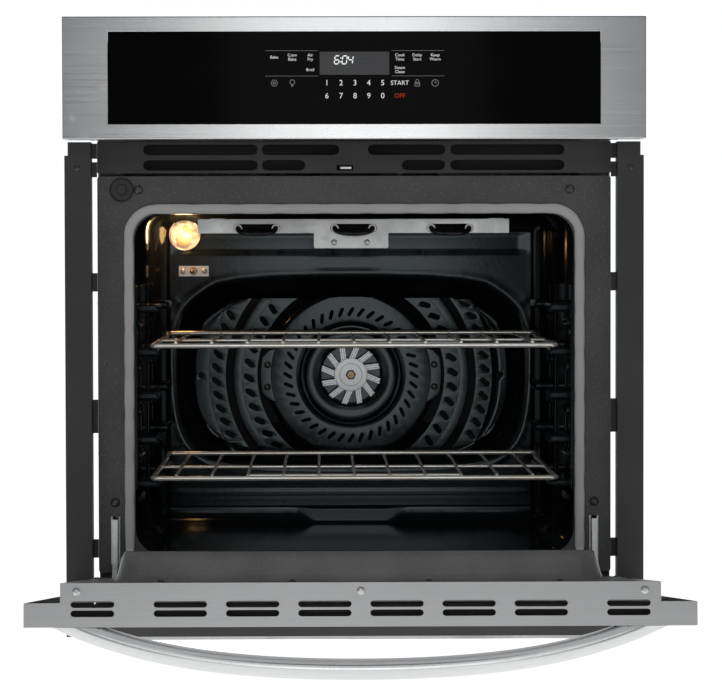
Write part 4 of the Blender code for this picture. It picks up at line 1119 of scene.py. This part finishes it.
class OVEN_OT_fan_cover(bpy.types.Operator):
    """Press the fan's slotted cover: a dished disc between two pairs of slotted wings"""
    bl_idname = "oven.fan_cover"
    bl_label = "Fan cover"

    def execute(self, context):
        sizes = context.scene.oven_sizes
        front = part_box("fan_cover")[0].y
        middle, top = FAN_AXIS.z, 0.1036

        def both(outlines):
            """Outlines round the fan's axis, on the left and on the right."""
            return [[(sign * x, z + middle) for x, z in outline]
                    for outline in outlines for sign in (-1, 1)]

        holes = []
        for radius, first, pitch, lean, length, height in (
                (0.1375, 1.5, 8.35, -37, 0.0150, 0.0068),
                (0.1810, 2.65, 5.85, -41, 0.0145, 0.0064)):
            for side in (0, 180):
                for number in range(-5, 6):
                    angle = math.radians(side + first + number * pitch)
                    holes.append(stadium((radius * math.cos(angle),
                                          middle + radius * math.sin(angle)), length, height,
                                         math.radians(lean + number * pitch / 2)))
        strips = Shape().plate(both([wing(0.1255, top, 0.1580), wing(0.1680, top, wide=0.2093)])
                               + holes + both([ring(0.2016, 0.0, 0.0032, 14)]),
                               front - 0.0014, front + 0.0002, bevel=0.0005)
        strips.plate(both([wing(0.1462, top * 0.985, 0.1574), wing(0.1905, top * 0.985,
                                                                   wide=0.2085)])
                     + both([ring(0.2016, 0.0, 0.0042, 14)]),
                     front - 0.0026, front - 0.0013, bevel=0.0006)
        strips.done("cover_wings", "cavity", slot="cavity_enamel", sharp=40)
        # painted shadow: a near-black sheet behind the wings and round the disc, so the gaps and
        # slots show only shade
        shade_sheet = Shape().plate(both([[(0.0, -top), (0.0, -0.0610)] + arc(0.0610, -math.pi / 2,
                                                                      math.pi / 2, 20)
                                      + [(0.0, top)] + wing(0.1680, top, wide=0.2085)[25:][::-1]]),
                                front + 0.0040, front + 0.0046)
        shade_sheet.done("cover_backing", "shadow", slot="cavity_enamel")

        disc, sheet = Shape(), 0.0013
        face = [(0.0398, 0.0030), (0.0402, -0.0010), (0.0412, -0.0034), (0.0432, -0.0046),
                (0.0500, -0.0054), (0.0590, -0.0058), (0.0608, -0.0048), (0.0618, 0.0004),
                (0.0632, 0.0014), (0.0662, 0.0014), (0.0676, 0.0002), (0.0688, -0.0040),
                (0.0705, -0.0050), (0.0745, -0.0053), (0.1060, -0.0053), (0.1100, -0.0046),
                (0.1122, -0.0030), (0.1135, -0.0008)]
        profile = face + [(r, y + sheet) for r, y in reversed(face)] + face[:1]
        disc.turned([(r, -y) for r, y in profile], UPWARD, 120)
        slots = Shape()
        slot_ring, slot_lean = 0.0850, 0.55
        for number in range(sizes.ring_slots):
            angle = math.tau * number / sizes.ring_slots
            place = (slot_ring * math.cos(angle), slot_ring * math.sin(angle))
            slots.plate([stadium(place, 0.0145, 0.0050, angle - slot_lean, 3)],
                        -0.010, 0.020, "XY")
        for foot, head in ((-0.135, -0.105), (0.105, 0.135)):       # flats at top and foot
            slots.box((-0.13, foot, -0.02), (0.13, head, 0.03))
        pierced = cut_mesh(disc, slots)
        cover = Shape()
        cover.add_mesh(pierced, at((0, front, middle), FRONTWARD))
        bpy.data.meshes.remove(pierced)
        ear = arc(0.1212, -0.20, 0.20, 8) + [(0.1105, 0.0330), (0.1000, 0.0360),
                                            (0.1000, -0.0360), (0.1105, -0.0330)]
        cover.plate(both([ear]), front - 0.0050, front - 0.0036, bevel=0.0005)
        cover.done("cover_disc", "cavity", slot="cavity_enamel", replaces=["fan_cover"],
                   sharp=40)
        heads = [(sign * 0.1120, front - 0.0050, middle + level)
                 for sign in (-1, 1) for level in (-0.0158, 0.0140)]
        screws("cover_screws", heads, 0.0046, FRONTWARD, "dark_screw", slot="cavity_enamel")
        return {"FINISHED"}


class OVEN_OT_fan(bpy.types.Operator):
    """Stamp the convection fan and bend the ring element round it"""
    bl_idname = "oven.fan"
    bl_label = "Convection fan"

    def execute(self, context):
        sizes = context.scene.oven_sizes
        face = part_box("convection_fan")[0].y + 0.0026
        count = sizes.fan_blades
        tip, root, lean = 0.0560, 0.0180, math.radians(-23)
        turn = (Matrix.Translation((0, root, 0)) @ Matrix.Rotation(lean, 4, "Z")
                @ Matrix.Translation((0, -root, 0)))
        blade = Shape().plate([[(-0.0046, root * 0.7), (0.0048, root * 0.7), (0.0037, 0.026),
                                (0.0035, tip - 0.0015), (0.0024, tip), (-0.0036, tip),
                                (-0.0036, 0.026)]], 0.0, 0.0009, "XY", bevel=0.0002)
        blade.box((0.0026, 0.0270, -0.0085), (0.0035, tip - 0.002, 0.0006), 0.0002, 1)
        # painted shade: thin near-black outlines on each blade stand in for the shade inside
        # pressed grooves
        groove = Shape().plate([stadium((0.0, 0.0290), 0.0230, 0.0034, math.pi / 2),
                                stadium((0.0, 0.0290), 0.0222, 0.0026, math.pi / 2)],
                               0.0009, 0.00098, "XY")
        fan, lines = Shape(), Shape()
        axis = at((0, face, FAN_AXIS.z), FRONTWARD)
        turns = [axis @ Matrix.Rotation(math.tau * number / count, 4, "Z")
                 for number in range(count)]
        fan.add(blade.move(turn), turns)
        lines.add(groove.move(turn), turns)
        hub = [(0.0, 0.0014), (0.0212, 0.0014), (0.0225, 0.0010), (0.0228, -0.0004),
               (0.0205, -0.0009), (0.0080, -0.0012), (0.0078, -0.0120), (0.0, -0.0120)]
        fan.turned(hub, axis, 48)
        fan.done("fan_wheel", "fan_steel", "convection_fan", "fan_steel",
                 ["convection_fan"], sharp=30)
        # painted shade: a near-black ring round the hub
        lines.plate([ring(0.0, FAN_AXIS.z, 0.0153, 40), ring(0.0, FAN_AXIS.z, 0.0148, 40)],
                    face - 0.00150, face - 0.00138)
        lines.done("fan_grooves", "shadow", "convection_fan", "fan_steel")
        # a washer under the nut, made near-black: its colour is painted shadow round the nut
        washer = Shape().plate([ring(0.0, FAN_AXIS.z, 0.0070, 6, 0.10)], face - 0.0038,
                               face - 0.0013, bevel=0.0003)
        washer.done("fan_washer", "shadow", "convection_fan", "fan_steel")
        nut = Shape().plate([ring(0.0, FAN_AXIS.z, 0.0052, 6, 0.10)], face - 0.0072,
                            face - 0.0038, bevel=0.0005)
        nut.turned([(0.0, 0.0092), (0.0018, 0.0090), (0.0023, 0.0084), (0.0023, 0.0030),
                    (0.0, 0.0030)], axis, 16)
        nut.done("fan_nut", "nut", "convection_fan", "fan_steel")

        level, radius, tails = 0.5015, 0.088, 0.012
        path = [(tails, 0.540, FAN_AXIS.z + radius), (tails, 0.508, FAN_AXIS.z + radius),
                (tails + 0.001, 0.503, FAN_AXIS.z + radius)]
        path += [(radius * math.sin(a), level, FAN_AXIS.z + radius * math.cos(a))
                 for a in (math.radians(10 + 340 * n / 72) for n in range(73))]
        path += [(-x, y, z) for x, y, z in path[2::-1]]
        element = Shape().tubes([path], 0.0032, 14)
        element.done("ring_element", "sheath", slot="heater_sheath",
                     replaces=["convection_element"])
        return {"FINISHED"}


# ---- Broil element, lamp and sensor ------------------------------------------------------
BROIL_ROWS = (-0.141, -0.095, -0.023, 0.023, 0.095, 0.141)


class OVEN_OT_broiler(bpy.types.Operator):
    """Bend the broil element and hang its bracket from the ceiling"""
    bl_idname = "oven.broiler"
    bl_label = "Broil element"

    def execute(self, context):
        level, front, rear, drop = 0.489, 0.092, 0.420, 0.006
        path = [(BROIL_ROWS[0], 0.520, level)]
        for number, (row, following) in enumerate(zip(BROIL_ROWS, BROIL_ROWS[1:])):
            radius, middle = (following - row) / 2, (following + row) / 2
            ahead = number % 2 == 0
            for step in range(17):
                angle = math.pi * step / 16
                reach = 0.8 * radius * math.sin(angle)
                path.append((middle - radius * math.cos(angle),
                             front - reach if ahead else rear + reach,
                             level - (drop * math.sin(angle) if ahead else 0.0)))
        path.append((BROIL_ROWS[-1], 0.520, level))
        Shape().tubes([path], 0.0032, 14).done("broil_rods", "sheath", slot="heater_sheath",
                                              replaces=["broil_element"])

        low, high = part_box("broil_bracket")
        strip = [[(-0.190, 0.4835), (0.190, 0.4835), (0.190, high.z), (-0.190, high.z)]]
        for left, right in zip(BROIL_ROWS[::2], BROIL_ROWS[1::2]):
            strip.append(stadium(((left + right) / 2, level + 0.0005), 0.0575, 0.0105))
        bracket = Shape().plate(strip, low.y, high.y, bevel=0.0002)
        plate = [rounded(0.0455, low.z, high.z - 0.0002, 0.0022, -0.0030)]
        plate.append(stadium((0.0, level + 0.0005), 0.0575, 0.0105))
        bracket.plate(plate, low.y - 0.0013, low.y - 0.0001, bevel=0.0002)
        for middle in (-0.1665, 0.1745):
            bracket.box((middle - 0.009, low.y, high.z - 0.0004),
                        (middle + 0.009, low.y + 0.016, high.z + 0.0008), 0.0003)
        for x in (-0.205, -0.060, 0.060, 0.205):
            bracket.box((x * 0.9 - 0.005, low.y + 0.0006, high.z - 0.0012),
                        (x * 0.9 + 0.005, low.y + 0.0150, high.z), 0.0002)
        bracket.done("broil_hanger", "galvanised", slot="galvanised_steel",
                     replaces=["broil_bracket"])
        sleeves = Shape()
        for row in BROIL_ROWS:
            sleeves.turned([(0.0034, 0.004), (0.0048, 0.004), (0.0052, 0.002), (0.0052, -0.004),
                            (0.0034, -0.004), (0.0034, 0.004)],
                           at((row, low.y + 0.002, level + 0.0005), FRONTWARD), 20)
        sleeves.done("broil_sleeves", "screw", slot="heater_sheath")
        heads = [(x, low.y - 0.0014, 0.4724) for x in (-0.0238, 0.0165)]
        screws("bracket_screws", heads, 0.0037, FRONTWARD, "screw", slot="galvanised_steel")
        return {"FINISHED"}


class OVEN_OT_lamp(bpy.types.Operator):
    """Put the ribbed lens over the lamp, and the sensor's probe and screws beside it"""
    bl_idname = "oven.lamp"
    bl_label = "Lamp and sensor"

    def execute(self, context):
        low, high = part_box("lamp_lens")
        radius, dome = (high.x - low.x) / 2, high.y - low.y
        middle = Vector(((low.x + high.x) / 2, high.y, (low.z + high.z) / 2))
        outer = [(radius * math.cos(a) * 0.94, dome * math.sin(a))
                 for a in (math.pi / 2 * n / 12 for n in range(12, -1, -1))]
        inner = [(max(0.0, r - 0.0028), max(0.0, z - 0.0022)) for r, z in outer[::-1]]
        profile = outer[:-1] + [(radius, 0.0030), (radius, 0.0)] + inner
        lens = Shape().turned(profile, at(middle, FRONTWARD), 48)
        rib = [[tuple(middle + Vector((0.94 * radius * math.cos(a) * math.cos(t),
                                       -dome * math.sin(a) - 0.0002,
                                       0.94 * radius * math.cos(a) * math.sin(t))))
                for a in (math.pi / 2 * n / 10 for n in range(1, 9))]
               for t in (math.tau * m / 12 for m in range(12))]
        lens.tubes(rib, 0.0006, 6)
        lens.done("lamp_cover", "lens", slot="lamp_glass", replaces=["lamp_lens"])
        level = 0.435
        probe = Shape().turned([(0.0, 0.0555), (0.0018, 0.0550), (0.0027, 0.0535),
                                (0.0027, 0.0020), (0.0052, 0.0016), (0.0052, 0.0), (0.0, 0.0)],
                               at((-0.211, 0.4838, level), FRONTWARD), 20)
        probe.done("sensor_probe", "nut", slot="galvanised_steel")
        screws("sensor_screws", [(x, 0.4836, level) for x in (-0.2255, -0.1965)], 0.0036,
               FRONTWARD, "screw", slot="galvanised_steel")
        return {"FINISHED"}


# ---- Racks -----------------------------------------------------------------------------
class OVEN_OT_racks(bpy.types.Operator):
    """Weld the two wire racks"""
    bl_idname = "oven.racks"
    bl_label = "Racks"

    def execute(self, context):
        rail, wire, bar, pitch, kick, radius = 0.0031, 0.0019, 0.0022, 0.0429, 0.005, 0.006
        for name in ("rack_lower", "rack_upper"):
            low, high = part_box(name)
            half, front, back = high.x - rail, low.y + rail, high.y - rail
            level = low.z + rail
            outline = rounded(half, front, back, radius, segments=8)
            corners = [(x, y, level + (kick if y > (front + back) / 2 else 0.0))
                       for x, y in outline]
            rear = len(corners) // 2
            ramp = [(half, back - 0.034 + 0.018 * n / 5,
                     level + kick * smoothstep(0, 1, n / 5)) for n in range(6)]
            loop = (ramp + corners[:rear] + [(-x, y, z) for x, y, z in ramp[::-1]]
                    + corners[rear:])
            shape = Shape().tubes([loop], rail, 14, cyclic=True)
            bars = [[(-reach, y, level + lift), (reach, y, level + lift)]
                    for reach, y, lift in ((half - 0.001, (front + back) / 2 - 0.012, 0.0012),
                                           (pitch * 3 + 0.001, front + 0.018, 0.0020))]
            shape.tubes(bars, bar, 12)
            above = level + rail + wire - 0.0010
            wires = []
            for number in range(11):
                x = pitch * (number - 5)
                fall = above - (level + kick - rail - wire + 0.0010)
                wires.append([(x, front - 0.0016, above - 0.0006), (x, front + 0.0020, above)]
                             + [(x, back - 0.030 + 0.020 * n / 6,
                                 above - fall * smoothstep(0, 1, n / 6)) for n in range(7)]
                             + [(x, back + 0.0008, above - fall)])
            shape.tubes(wires, wire, 10)
            shape.done(f"{name}_wires", "chrome", name, "chrome_wire", [name], sharp=60)
        return {"FINISHED"}


# ---- Door ------------------------------------------------------------------------------
class OVEN_OT_door(bpy.types.Operator):
    """Press the door's inner pan, bend the handle and put in the door's screws"""
    bl_idname = "oven.door"
    bl_label = "Door"

    def execute(self, context):
        sizes = context.scene.oven_sizes
        low, high = shut_box("door_liner")
        half, wall = high.x, 0.0010
        flange, raised = 0.004, high.y              # levels of the pan's rim and of its plug
        plug = (0.258, 0.115, 0.492)                # half width, foot and top
        window = (0.190, 0.180, 0.430)
        grown = (window[0] + 0.014, window[1] - 0.014, window[2] + 0.014, 0.012)
        pan = Shape()
        base = bmesh.ops.create_grid(
            pan.bm, x_segments=1, y_segments=1, size=0.5,
            matrix=Matrix.Translation((0, flange, (low.z + high.z) / 2))
            @ Matrix.Rotation(-math.pi / 2, 4, "X")
            @ Matrix.Diagonal((2 * half, high.z - low.z, 1, 1)))["verts"]
        bmesh.ops.bevel(pan.bm, geom=base, offset=0.006, segments=4, profile=0.5,
                        affect="VERTICES", material=-1)
        flat = max(pan.bm.faces, key=lambda face: face.calc_area())
        if flat.normal.y < 0:
            bmesh.ops.reverse_faces(pan.bm, faces=[flat])
        rim = pan.bm.edges[:]
        walls = bmesh.ops.extrude_edge_only(pan.bm, edges=rim)["geom"]
        bmesh.ops.translate(pan.bm, vec=(0, low.y - flange, 0),
                            verts=[v for v in walls if isinstance(v, bmesh.types.BMVert)])
        bmesh.ops.delete(pan.bm, geom=[flat], context="FACES_ONLY")
        pan, border = Shape(), pan
        pan.add(border)

        def height(x, z):
            inside = edge_distance(rounded(*plug, 0.026, segments=7), (x, z))
            up = (raised - flange) * smoothstep(-0.0012, 0.0095, inside)
            hollow = edge_distance(rounded(*grown), (x, z))
            bead = edge_distance(rounded(0.292, 0.062, 0.520, 0.020), (x, z))
            return (up - 0.0015 * smoothstep(0.0, 0.005, hollow)
                    + 0.0012 * math.exp(-(bead / 0.004) ** 2))

        pan.sheet((-half, low.z), (half, high.z), 0.0036, height, "XZ", flange, 1)
        cut = [face for face in pan.bm.faces
               if abs(face.calc_center_median().x) < window[0]
               and window[1] < face.calc_center_median().z < window[2]
               and abs(face.normal.y) > 0.5]
        slots = [face for face in pan.bm.faces if self.slotted(face.calc_center_median())]
        bmesh.ops.delete(pan.bm, geom=cut + slots, context="FACES")
        pan.move(DOOR_TURN)
        pan.done("door_inner_pan", "pan", "door", "speckled_enamel", ["door_liner"],
                 sharp=70, wall=wall)

        self.handle(shut_box("door_handle"), shut_box("door_skin"))
        top = shut_box("door_vent_trim")[1].z
        # painted shadow: a near-black sheet under the door's vent slots, so they show only shade
        gloom = Shape().box((-0.300, -0.0385, 0.5790), (0.300, -0.0175, 0.5796))
        gloom.move(DOOR_TURN)
        gloom.done("vent_baffle", "shadow", "door", "black_paint")
        heads = [(x, -0.0047, top + 0.00005) for x in (-0.2893, 0.0, 0.2893)]
        screws("door_screws", heads, sizes.trim_screw, UPWARD, "screw", "door",
               "brushed_stainless", DOOR_TURN)
        inner = [(sign * x, 0.0042, z) for sign in (-1, 1) for x, z in
                 ((0.2930, 0.250), (0.2930, 0.400), (0.2050, 0.560), (0.0700, 0.560),
                  (0.2050, 0.088), (0.0700, 0.088))]
        screws("liner_screws", inner, 0.0042, BACKWARD, "dark_screw", "door",
               "speckled_enamel", DOOR_TURN)
        seal = Shape()
        grow = 0.006
        path = [(x, raised - 0.0006, z) for x, z in
                rounded(window[0] + grow, window[1] - grow, window[2] + grow, 0.012)]
        seal.tubes([path], 0.0012, 8, cyclic=True)
        seal.move(DOOR_TURN)
        seal.done("window_bead", "plastic", "door", "black_plastic")
        return {"FINISHED"}

    def slotted(self, centre):
        """True where the pan is open for a hinge or for the latch."""
        return centre.y < 0.008 and (
            (abs(abs(centre.x) - 0.286) < 0.0100 and 0.043 < centre.z < 0.150)
            or (-0.0200 < centre.x < -0.0005 and 0.5565 < centre.z < 0.5650))

    def handle(self, bar, skin):
        """A bowed tube, mitred flat against the door's face."""
        radius, level, end, steps = 0.011, 0.545, 0.324, 96
        bow, tighter_bow = 0.3065, 2.455            # how the tube falls back towards its ends
        front = skin[0].y
        stand_off = front - bar[0].y - radius
        path = [(x, front - (stand_off - (bow * x ** 2 + tighter_bow * x ** 4)), level)
                for x in (end * (2 * step / steps - 1) for step in range(steps + 1))]
        tube = Shape().tubes([path], radius, 28)
        bmesh.ops.bisect_plane(tube.bm, geom=tube.bm.verts[:] + tube.bm.edges[:]
                               + tube.bm.faces[:], plane_co=(0, front - CLEAR, 0),
                               plane_no=(0, 1, 0), clear_outer=True)
        bmesh.ops.holes_fill(tube.bm, edges=[e for e in tube.bm.edges if e.is_boundary],
                             sides=0)
        feet = [vert.co.x for vert in tube.bm.verts if vert.co.y > front - CLEAR - 0.0001]
        tube.move(DOOR_TURN)
        tube.done("pull_bar", "handle_steel", "door", "brushed_stainless", ["door_handle"],
                  sharp=50)
        collars = Shape()
        margin, edge = 0.0008, 0.3428               # round the tube; inside the door's side
        for sign in (-1, 1):
            near = [abs(x) for x in feet if x * sign > 0]
            middle, reach = sign * (min(near) + max(near)) / 2, (max(near) - min(near)) / 2
            outline = [(middle + (reach + margin) * math.cos(a),
                        level + (radius + margin) * math.sin(a))
                       for a in (math.tau * n / 32 for n in range(32))]
            outline = [(max(-edge, min(edge, u)), v) for u, v in outline]
            collars.plate([outline], front - 0.0011, front - 0.0002, bevel=0.0003)
        collars.move(DOOR_TURN)
        collars.done("handle_collars", "plastic", "door", "brushed_stainless")


# ---- Chassis ---------------------------------------------------------------------------
class OVEN_OT_chassis(bpy.types.Operator):
    """Stiffen the outer panels with pressed ribs and fasten them with screws"""
    bl_idname = "oven.chassis"
    bl_label = "Chassis ribs and screws"

    def rib(self, shape, middle, length, width, height, turn):
        """A pressed rib with round ends, lying on Z = 0 along its own X."""
        path = [(-length / 2 + length * n / 8, 0.0, 0.0) for n in range(9)]
        piece = Shape().tubes([path], 1.0, 12)
        for vert in piece.bm.verts:
            along = max(0.0, abs(vert.co.x) - (length / 2 - width))
            narrow = math.sqrt(max(0.0, 1 - (along / (width * 1.02)) ** 2))
            vert.co.y *= width / 2 * max(0.08, narrow)
            vert.co.z *= height * max(0.08, narrow)
        shape.add(piece, [at(middle, turn)])

    def execute(self, context):
        ribs, heads = Shape(), {}
        for side, sign in SIDES.items():
            low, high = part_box(f"side_panel_{side}")
            face = sign * max(abs(low.x), abs(high.x))
            turn = RIGHTWARD if sign > 0 else LEFTWARD
            flat = turn @ Matrix.Rotation(math.pi / 2, 4, "Z")
            for y in (0.120, 0.300, 0.480):
                self.rib(ribs, (face, y, 0.290), 0.400, 0.016, 0.0026, turn)
            for z in (0.560, 0.650):
                self.rib(ribs, (face, 0.300, z), 0.380, 0.014, 0.0024, flat)
            for row in range(5):
                self.rib(ribs, (face, 0.540, 0.600 + 0.018 * row), 0.050, 0.009, 0.0036, flat)
            heads[side] = [(face, y, z) for y in (0.030, 0.572)
                           for z in (0.040, 0.220, 0.400, 0.560, 0.690)]
        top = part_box("top_cover")[1].z
        for x, middle, length in ((-0.190, 0.250, 0.380), (-0.060, 0.250, 0.380),
                                  (0.060, 0.250, 0.380), (0.190, 0.200, 0.280)):
            self.rib(ribs, (x, middle, top), length, 0.016, 0.0026,
                     Matrix.Rotation(math.pi / 2, 4, "Z"))
        heads["top"] = [(x, y, top) for x in (-0.290, 0.0, 0.290) for y in (0.025, 0.572)]
        heads["top"] += [(-0.290, 0.300, top), (0.290, 0.300, top)]
        ribs.done("pressed_ribs", "aluminised", slot="aluminised_steel", sharp=60)
        for side, sign in SIDES.items():
            screws(f"side_screws_{side}", heads[side], 0.0042,
                   RIGHTWARD if sign > 0 else LEFTWARD, slot="aluminised_steel")
        screws("top_screws", heads["top"], 0.0042, UPWARD, slot="aluminised_steel")
        low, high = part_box("terminal_box")
        lid = Shape().box((low.x - 0.003, low.y - 0.003, high.z + CLEAR),
                          (high.x + 0.003, high.y + 0.003, high.z + 0.0011), 0.0003)
        for x in (low.x - 0.0090, high.x + 0.0010):
            lid.box((x, low.y + 0.030, low.z + CLEAR), (x + 0.008, high.y - 0.030,
                                                      low.z + 0.0016), 0.0004)
        lid.done("terminal_lid", "galvanised", slot="galvanised_steel")
        spots = [(x, y, high.z + 0.0011) for x in (low.x + 0.010, high.x - 0.010)
                 for y in (low.y + 0.010, high.y - 0.010)]
        screws("terminal_screws", spots, 0.0029, UPWARD, slot="galvanised_steel")

        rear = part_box("rear_panel")[1].y
        back = Shape()
        for x in (-0.200, 0.0, 0.200):
            back.plate([stadium((x, 0.300), 0.380, 0.020, math.pi / 2),
                        stadium((x, 0.300), 0.366, 0.006, math.pi / 2)],
                       rear - 0.0002, rear - 0.00005)
        back.done("rear_bead_lines", "aluminised", slot="aluminised_steel")
        return {"FINISHED"}


# ---- Studio ----------------------------------------------------------------------------
class OVEN_OT_stage(bpy.types.Operator):
    """Set the pale floor, the soft lights, the backdrop and the camera"""
    bl_idname = "oven.stage"
    bl_label = "Stage"

    def light(self, context, name, place, target, size, power):
        data = bpy.data.lights.new(name, "AREA")
        data.shape, data.size, data.size_y = "RECTANGLE", *size
        data.energy = power
        item = bpy.data.objects.new(name, data)
        item.location = place
        item.rotation_euler = (Vector(target) - Vector(place)).to_track_quat("-Z", "Y").to_euler()
        context.scene.collection.objects.link(item)
        return item

    def execute(self, context):
        studio = context.scene.oven_stage
        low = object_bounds()[0]
        floor = Shape()
        bmesh.ops.create_grid(floor.bm, x_segments=2, y_segments=2, size=9.0,
                              matrix=Matrix.Translation((0, 0, low.z - 0.002)))
        mesh = bpy.data.meshes.new("studio_floor")
        floor.bm.to_mesh(mesh)
        floor.bm.free()
        pale = Finish("pale_floor")
        cloud = pale.noise(0.7, 2.0)
        near = pale.axes()[1].ramp(-1.1, -0.75)
        shade = pale.mix(cloud, (0.50, 0.50, 0.50), (0.53, 0.53, 0.53))
        glow = pale.mix(near, (studio.floor_front,) * 3, (0.985, 0.985, 0.985))
        mesh.materials.append(pale.done(Base_Color=shade, Roughness=cloud * 0.05 + 0.9,
                                        Specular_IOR_Level=0.0, Emission_Color=glow,
                                        Emission_Strength=1.0))
        item = bpy.data.objects.new("studio_floor", mesh)
        context.scene.collection.objects.link(item)
        item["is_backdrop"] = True

        world = bpy.data.worlds.new("studio")
        world.use_nodes = True
        context.scene.world = world
        tree = world.node_tree
        ground = tree.nodes["Background"]
        place = tree.nodes.new("ShaderNodeTexCoord")
        split = tree.nodes.new("ShaderNodeSeparateXYZ")
        tree.links.new(place.outputs["Generated"], split.inputs[0])
        strength = None
        for axis, start, stop in (("Y", -0.05, 0.30), ("Z", 0.30, 0.14)):
            share = tree.nodes.new("ShaderNodeMapRange")
            share.inputs[1].default_value, share.inputs[2].default_value = start, stop
            tree.links.new(split.outputs[axis], share.inputs[0])
            if strength is None:
                share.inputs[4].default_value = studio.backdrop - studio.room
            else:
                tree.links.new(strength, share.inputs[4])
            strength = share.outputs[0]
        total = tree.nodes.new("ShaderNodeMath")
        total.inputs[1].default_value = studio.room
        tree.links.new(strength, total.inputs[0])
        tree.links.new(total.outputs[0], ground.inputs["Strength"])
        ground.inputs["Color"].default_value = (0.93, 0.97, 1.0, 1)

        soft = self.light(context, "high_soft_box", (0.0, -2.4, 2.2), (0, 0, 0.35), (2.4, 1.0),
                          studio.key)
        soft.visible_glossy = False
        self.light(context, "upper_card", (0.04, -3.5, 2.0), (0.04, 0, 0.45), (1.2, 1.3),
                   studio.upper)
        self.light(context, "camera_card", (0.04, -3.75, 0.55), (0.04, 0, 0.55), (0.62, 1.5),
                   studio.card)
        lamp = bpy.data.lights.new("cavity_lamp", "POINT")
        lamp.energy, lamp.color = studio.cavity_lamp, tuple(context.scene.oven_colours.lamp)
        lamp.shadow_soft_size = 0.012
        item = bpy.data.objects.new("cavity_lamp", lamp)
        low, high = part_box("lamp_lens")
        item.location = ((low.x + high.x) / 2, low.y - 0.016, (low.z + high.z) / 2)
        context.scene.collection.objects.link(item)

        camera = bpy.data.objects.new("camera", bpy.data.cameras.new("camera"))
        context.scene.collection.objects.link(camera)
        camera.data.lens, camera.data.sensor_width = 153.29, 36.0
        place, yaw, pitch, roll = (-0.03987, -3.6574, 0.46212), 0.01296, -0.03231, -0.00199
        ahead = Vector((math.sin(yaw) * math.cos(pitch), math.cos(yaw) * math.cos(pitch),
                        math.sin(pitch)))
        right = Vector((math.cos(yaw), -math.sin(yaw), 0.0))
        up = right.cross(ahead)
        across = right * math.cos(roll) + up * math.sin(roll)
        upright = up * math.cos(roll) - right * math.sin(roll)
        turn = Matrix((across, upright, -ahead)).transposed().to_4x4()
        camera.matrix_world = Matrix.Translation(place) @ turn
        context.scene.camera = camera
        context.scene.view_settings.view_transform = "Standard"
        return {"FINISHED"}


STEPS = (OVEN_OT_finishes, OVEN_OT_controls, OVEN_OT_front_frame, OVEN_OT_cavity,
         OVEN_OT_guides, OVEN_OT_fan_cover, OVEN_OT_fan, OVEN_OT_broiler, OVEN_OT_lamp,
         OVEN_OT_racks, OVEN_OT_door, OVEN_OT_chassis, OVEN_OT_stage)
GROUPS = {"oven_colours": OvenColours, "oven_sizes": OvenSizes, "oven_stage": OvenStage}


class OVEN_PT_panel(bpy.types.Panel):
    """The oven's settings, with a button for each piece"""
    bl_idname = "OVEN_PT_panel"
    bl_label = "Wall oven"
    bl_space_type = "VIEW_3D"
    bl_region_type = "UI"
    bl_category = "Oven"

    def draw(self, context):
        for name, group in GROUPS.items():
            box = self.layout.box()
            for setting in group.__annotations__:
                box.prop(getattr(context.scene, name), setting)
        for step in STEPS:
            self.layout.operator(step.bl_idname)


def register():
    for item in (*GROUPS.values(), *STEPS, OVEN_PT_panel):
        bpy.utils.register_class(item)
    for name, group in GROUPS.items():
        setattr(bpy.types.Scene, name, bpy.props.PointerProperty(type=group))


def unregister():
    for name in GROUPS:
        delattr(bpy.types.Scene, name)
    for item in (OVEN_PT_panel, *STEPS[::-1], *GROUPS.values()):
        bpy.utils.unregister_class(item)


def main():
    register()
    for step in STEPS:
        group, name = step.bl_idname.split(".")
        getattr(getattr(bpy.ops, group), name)()


if __name__ == "__main__":
    main()
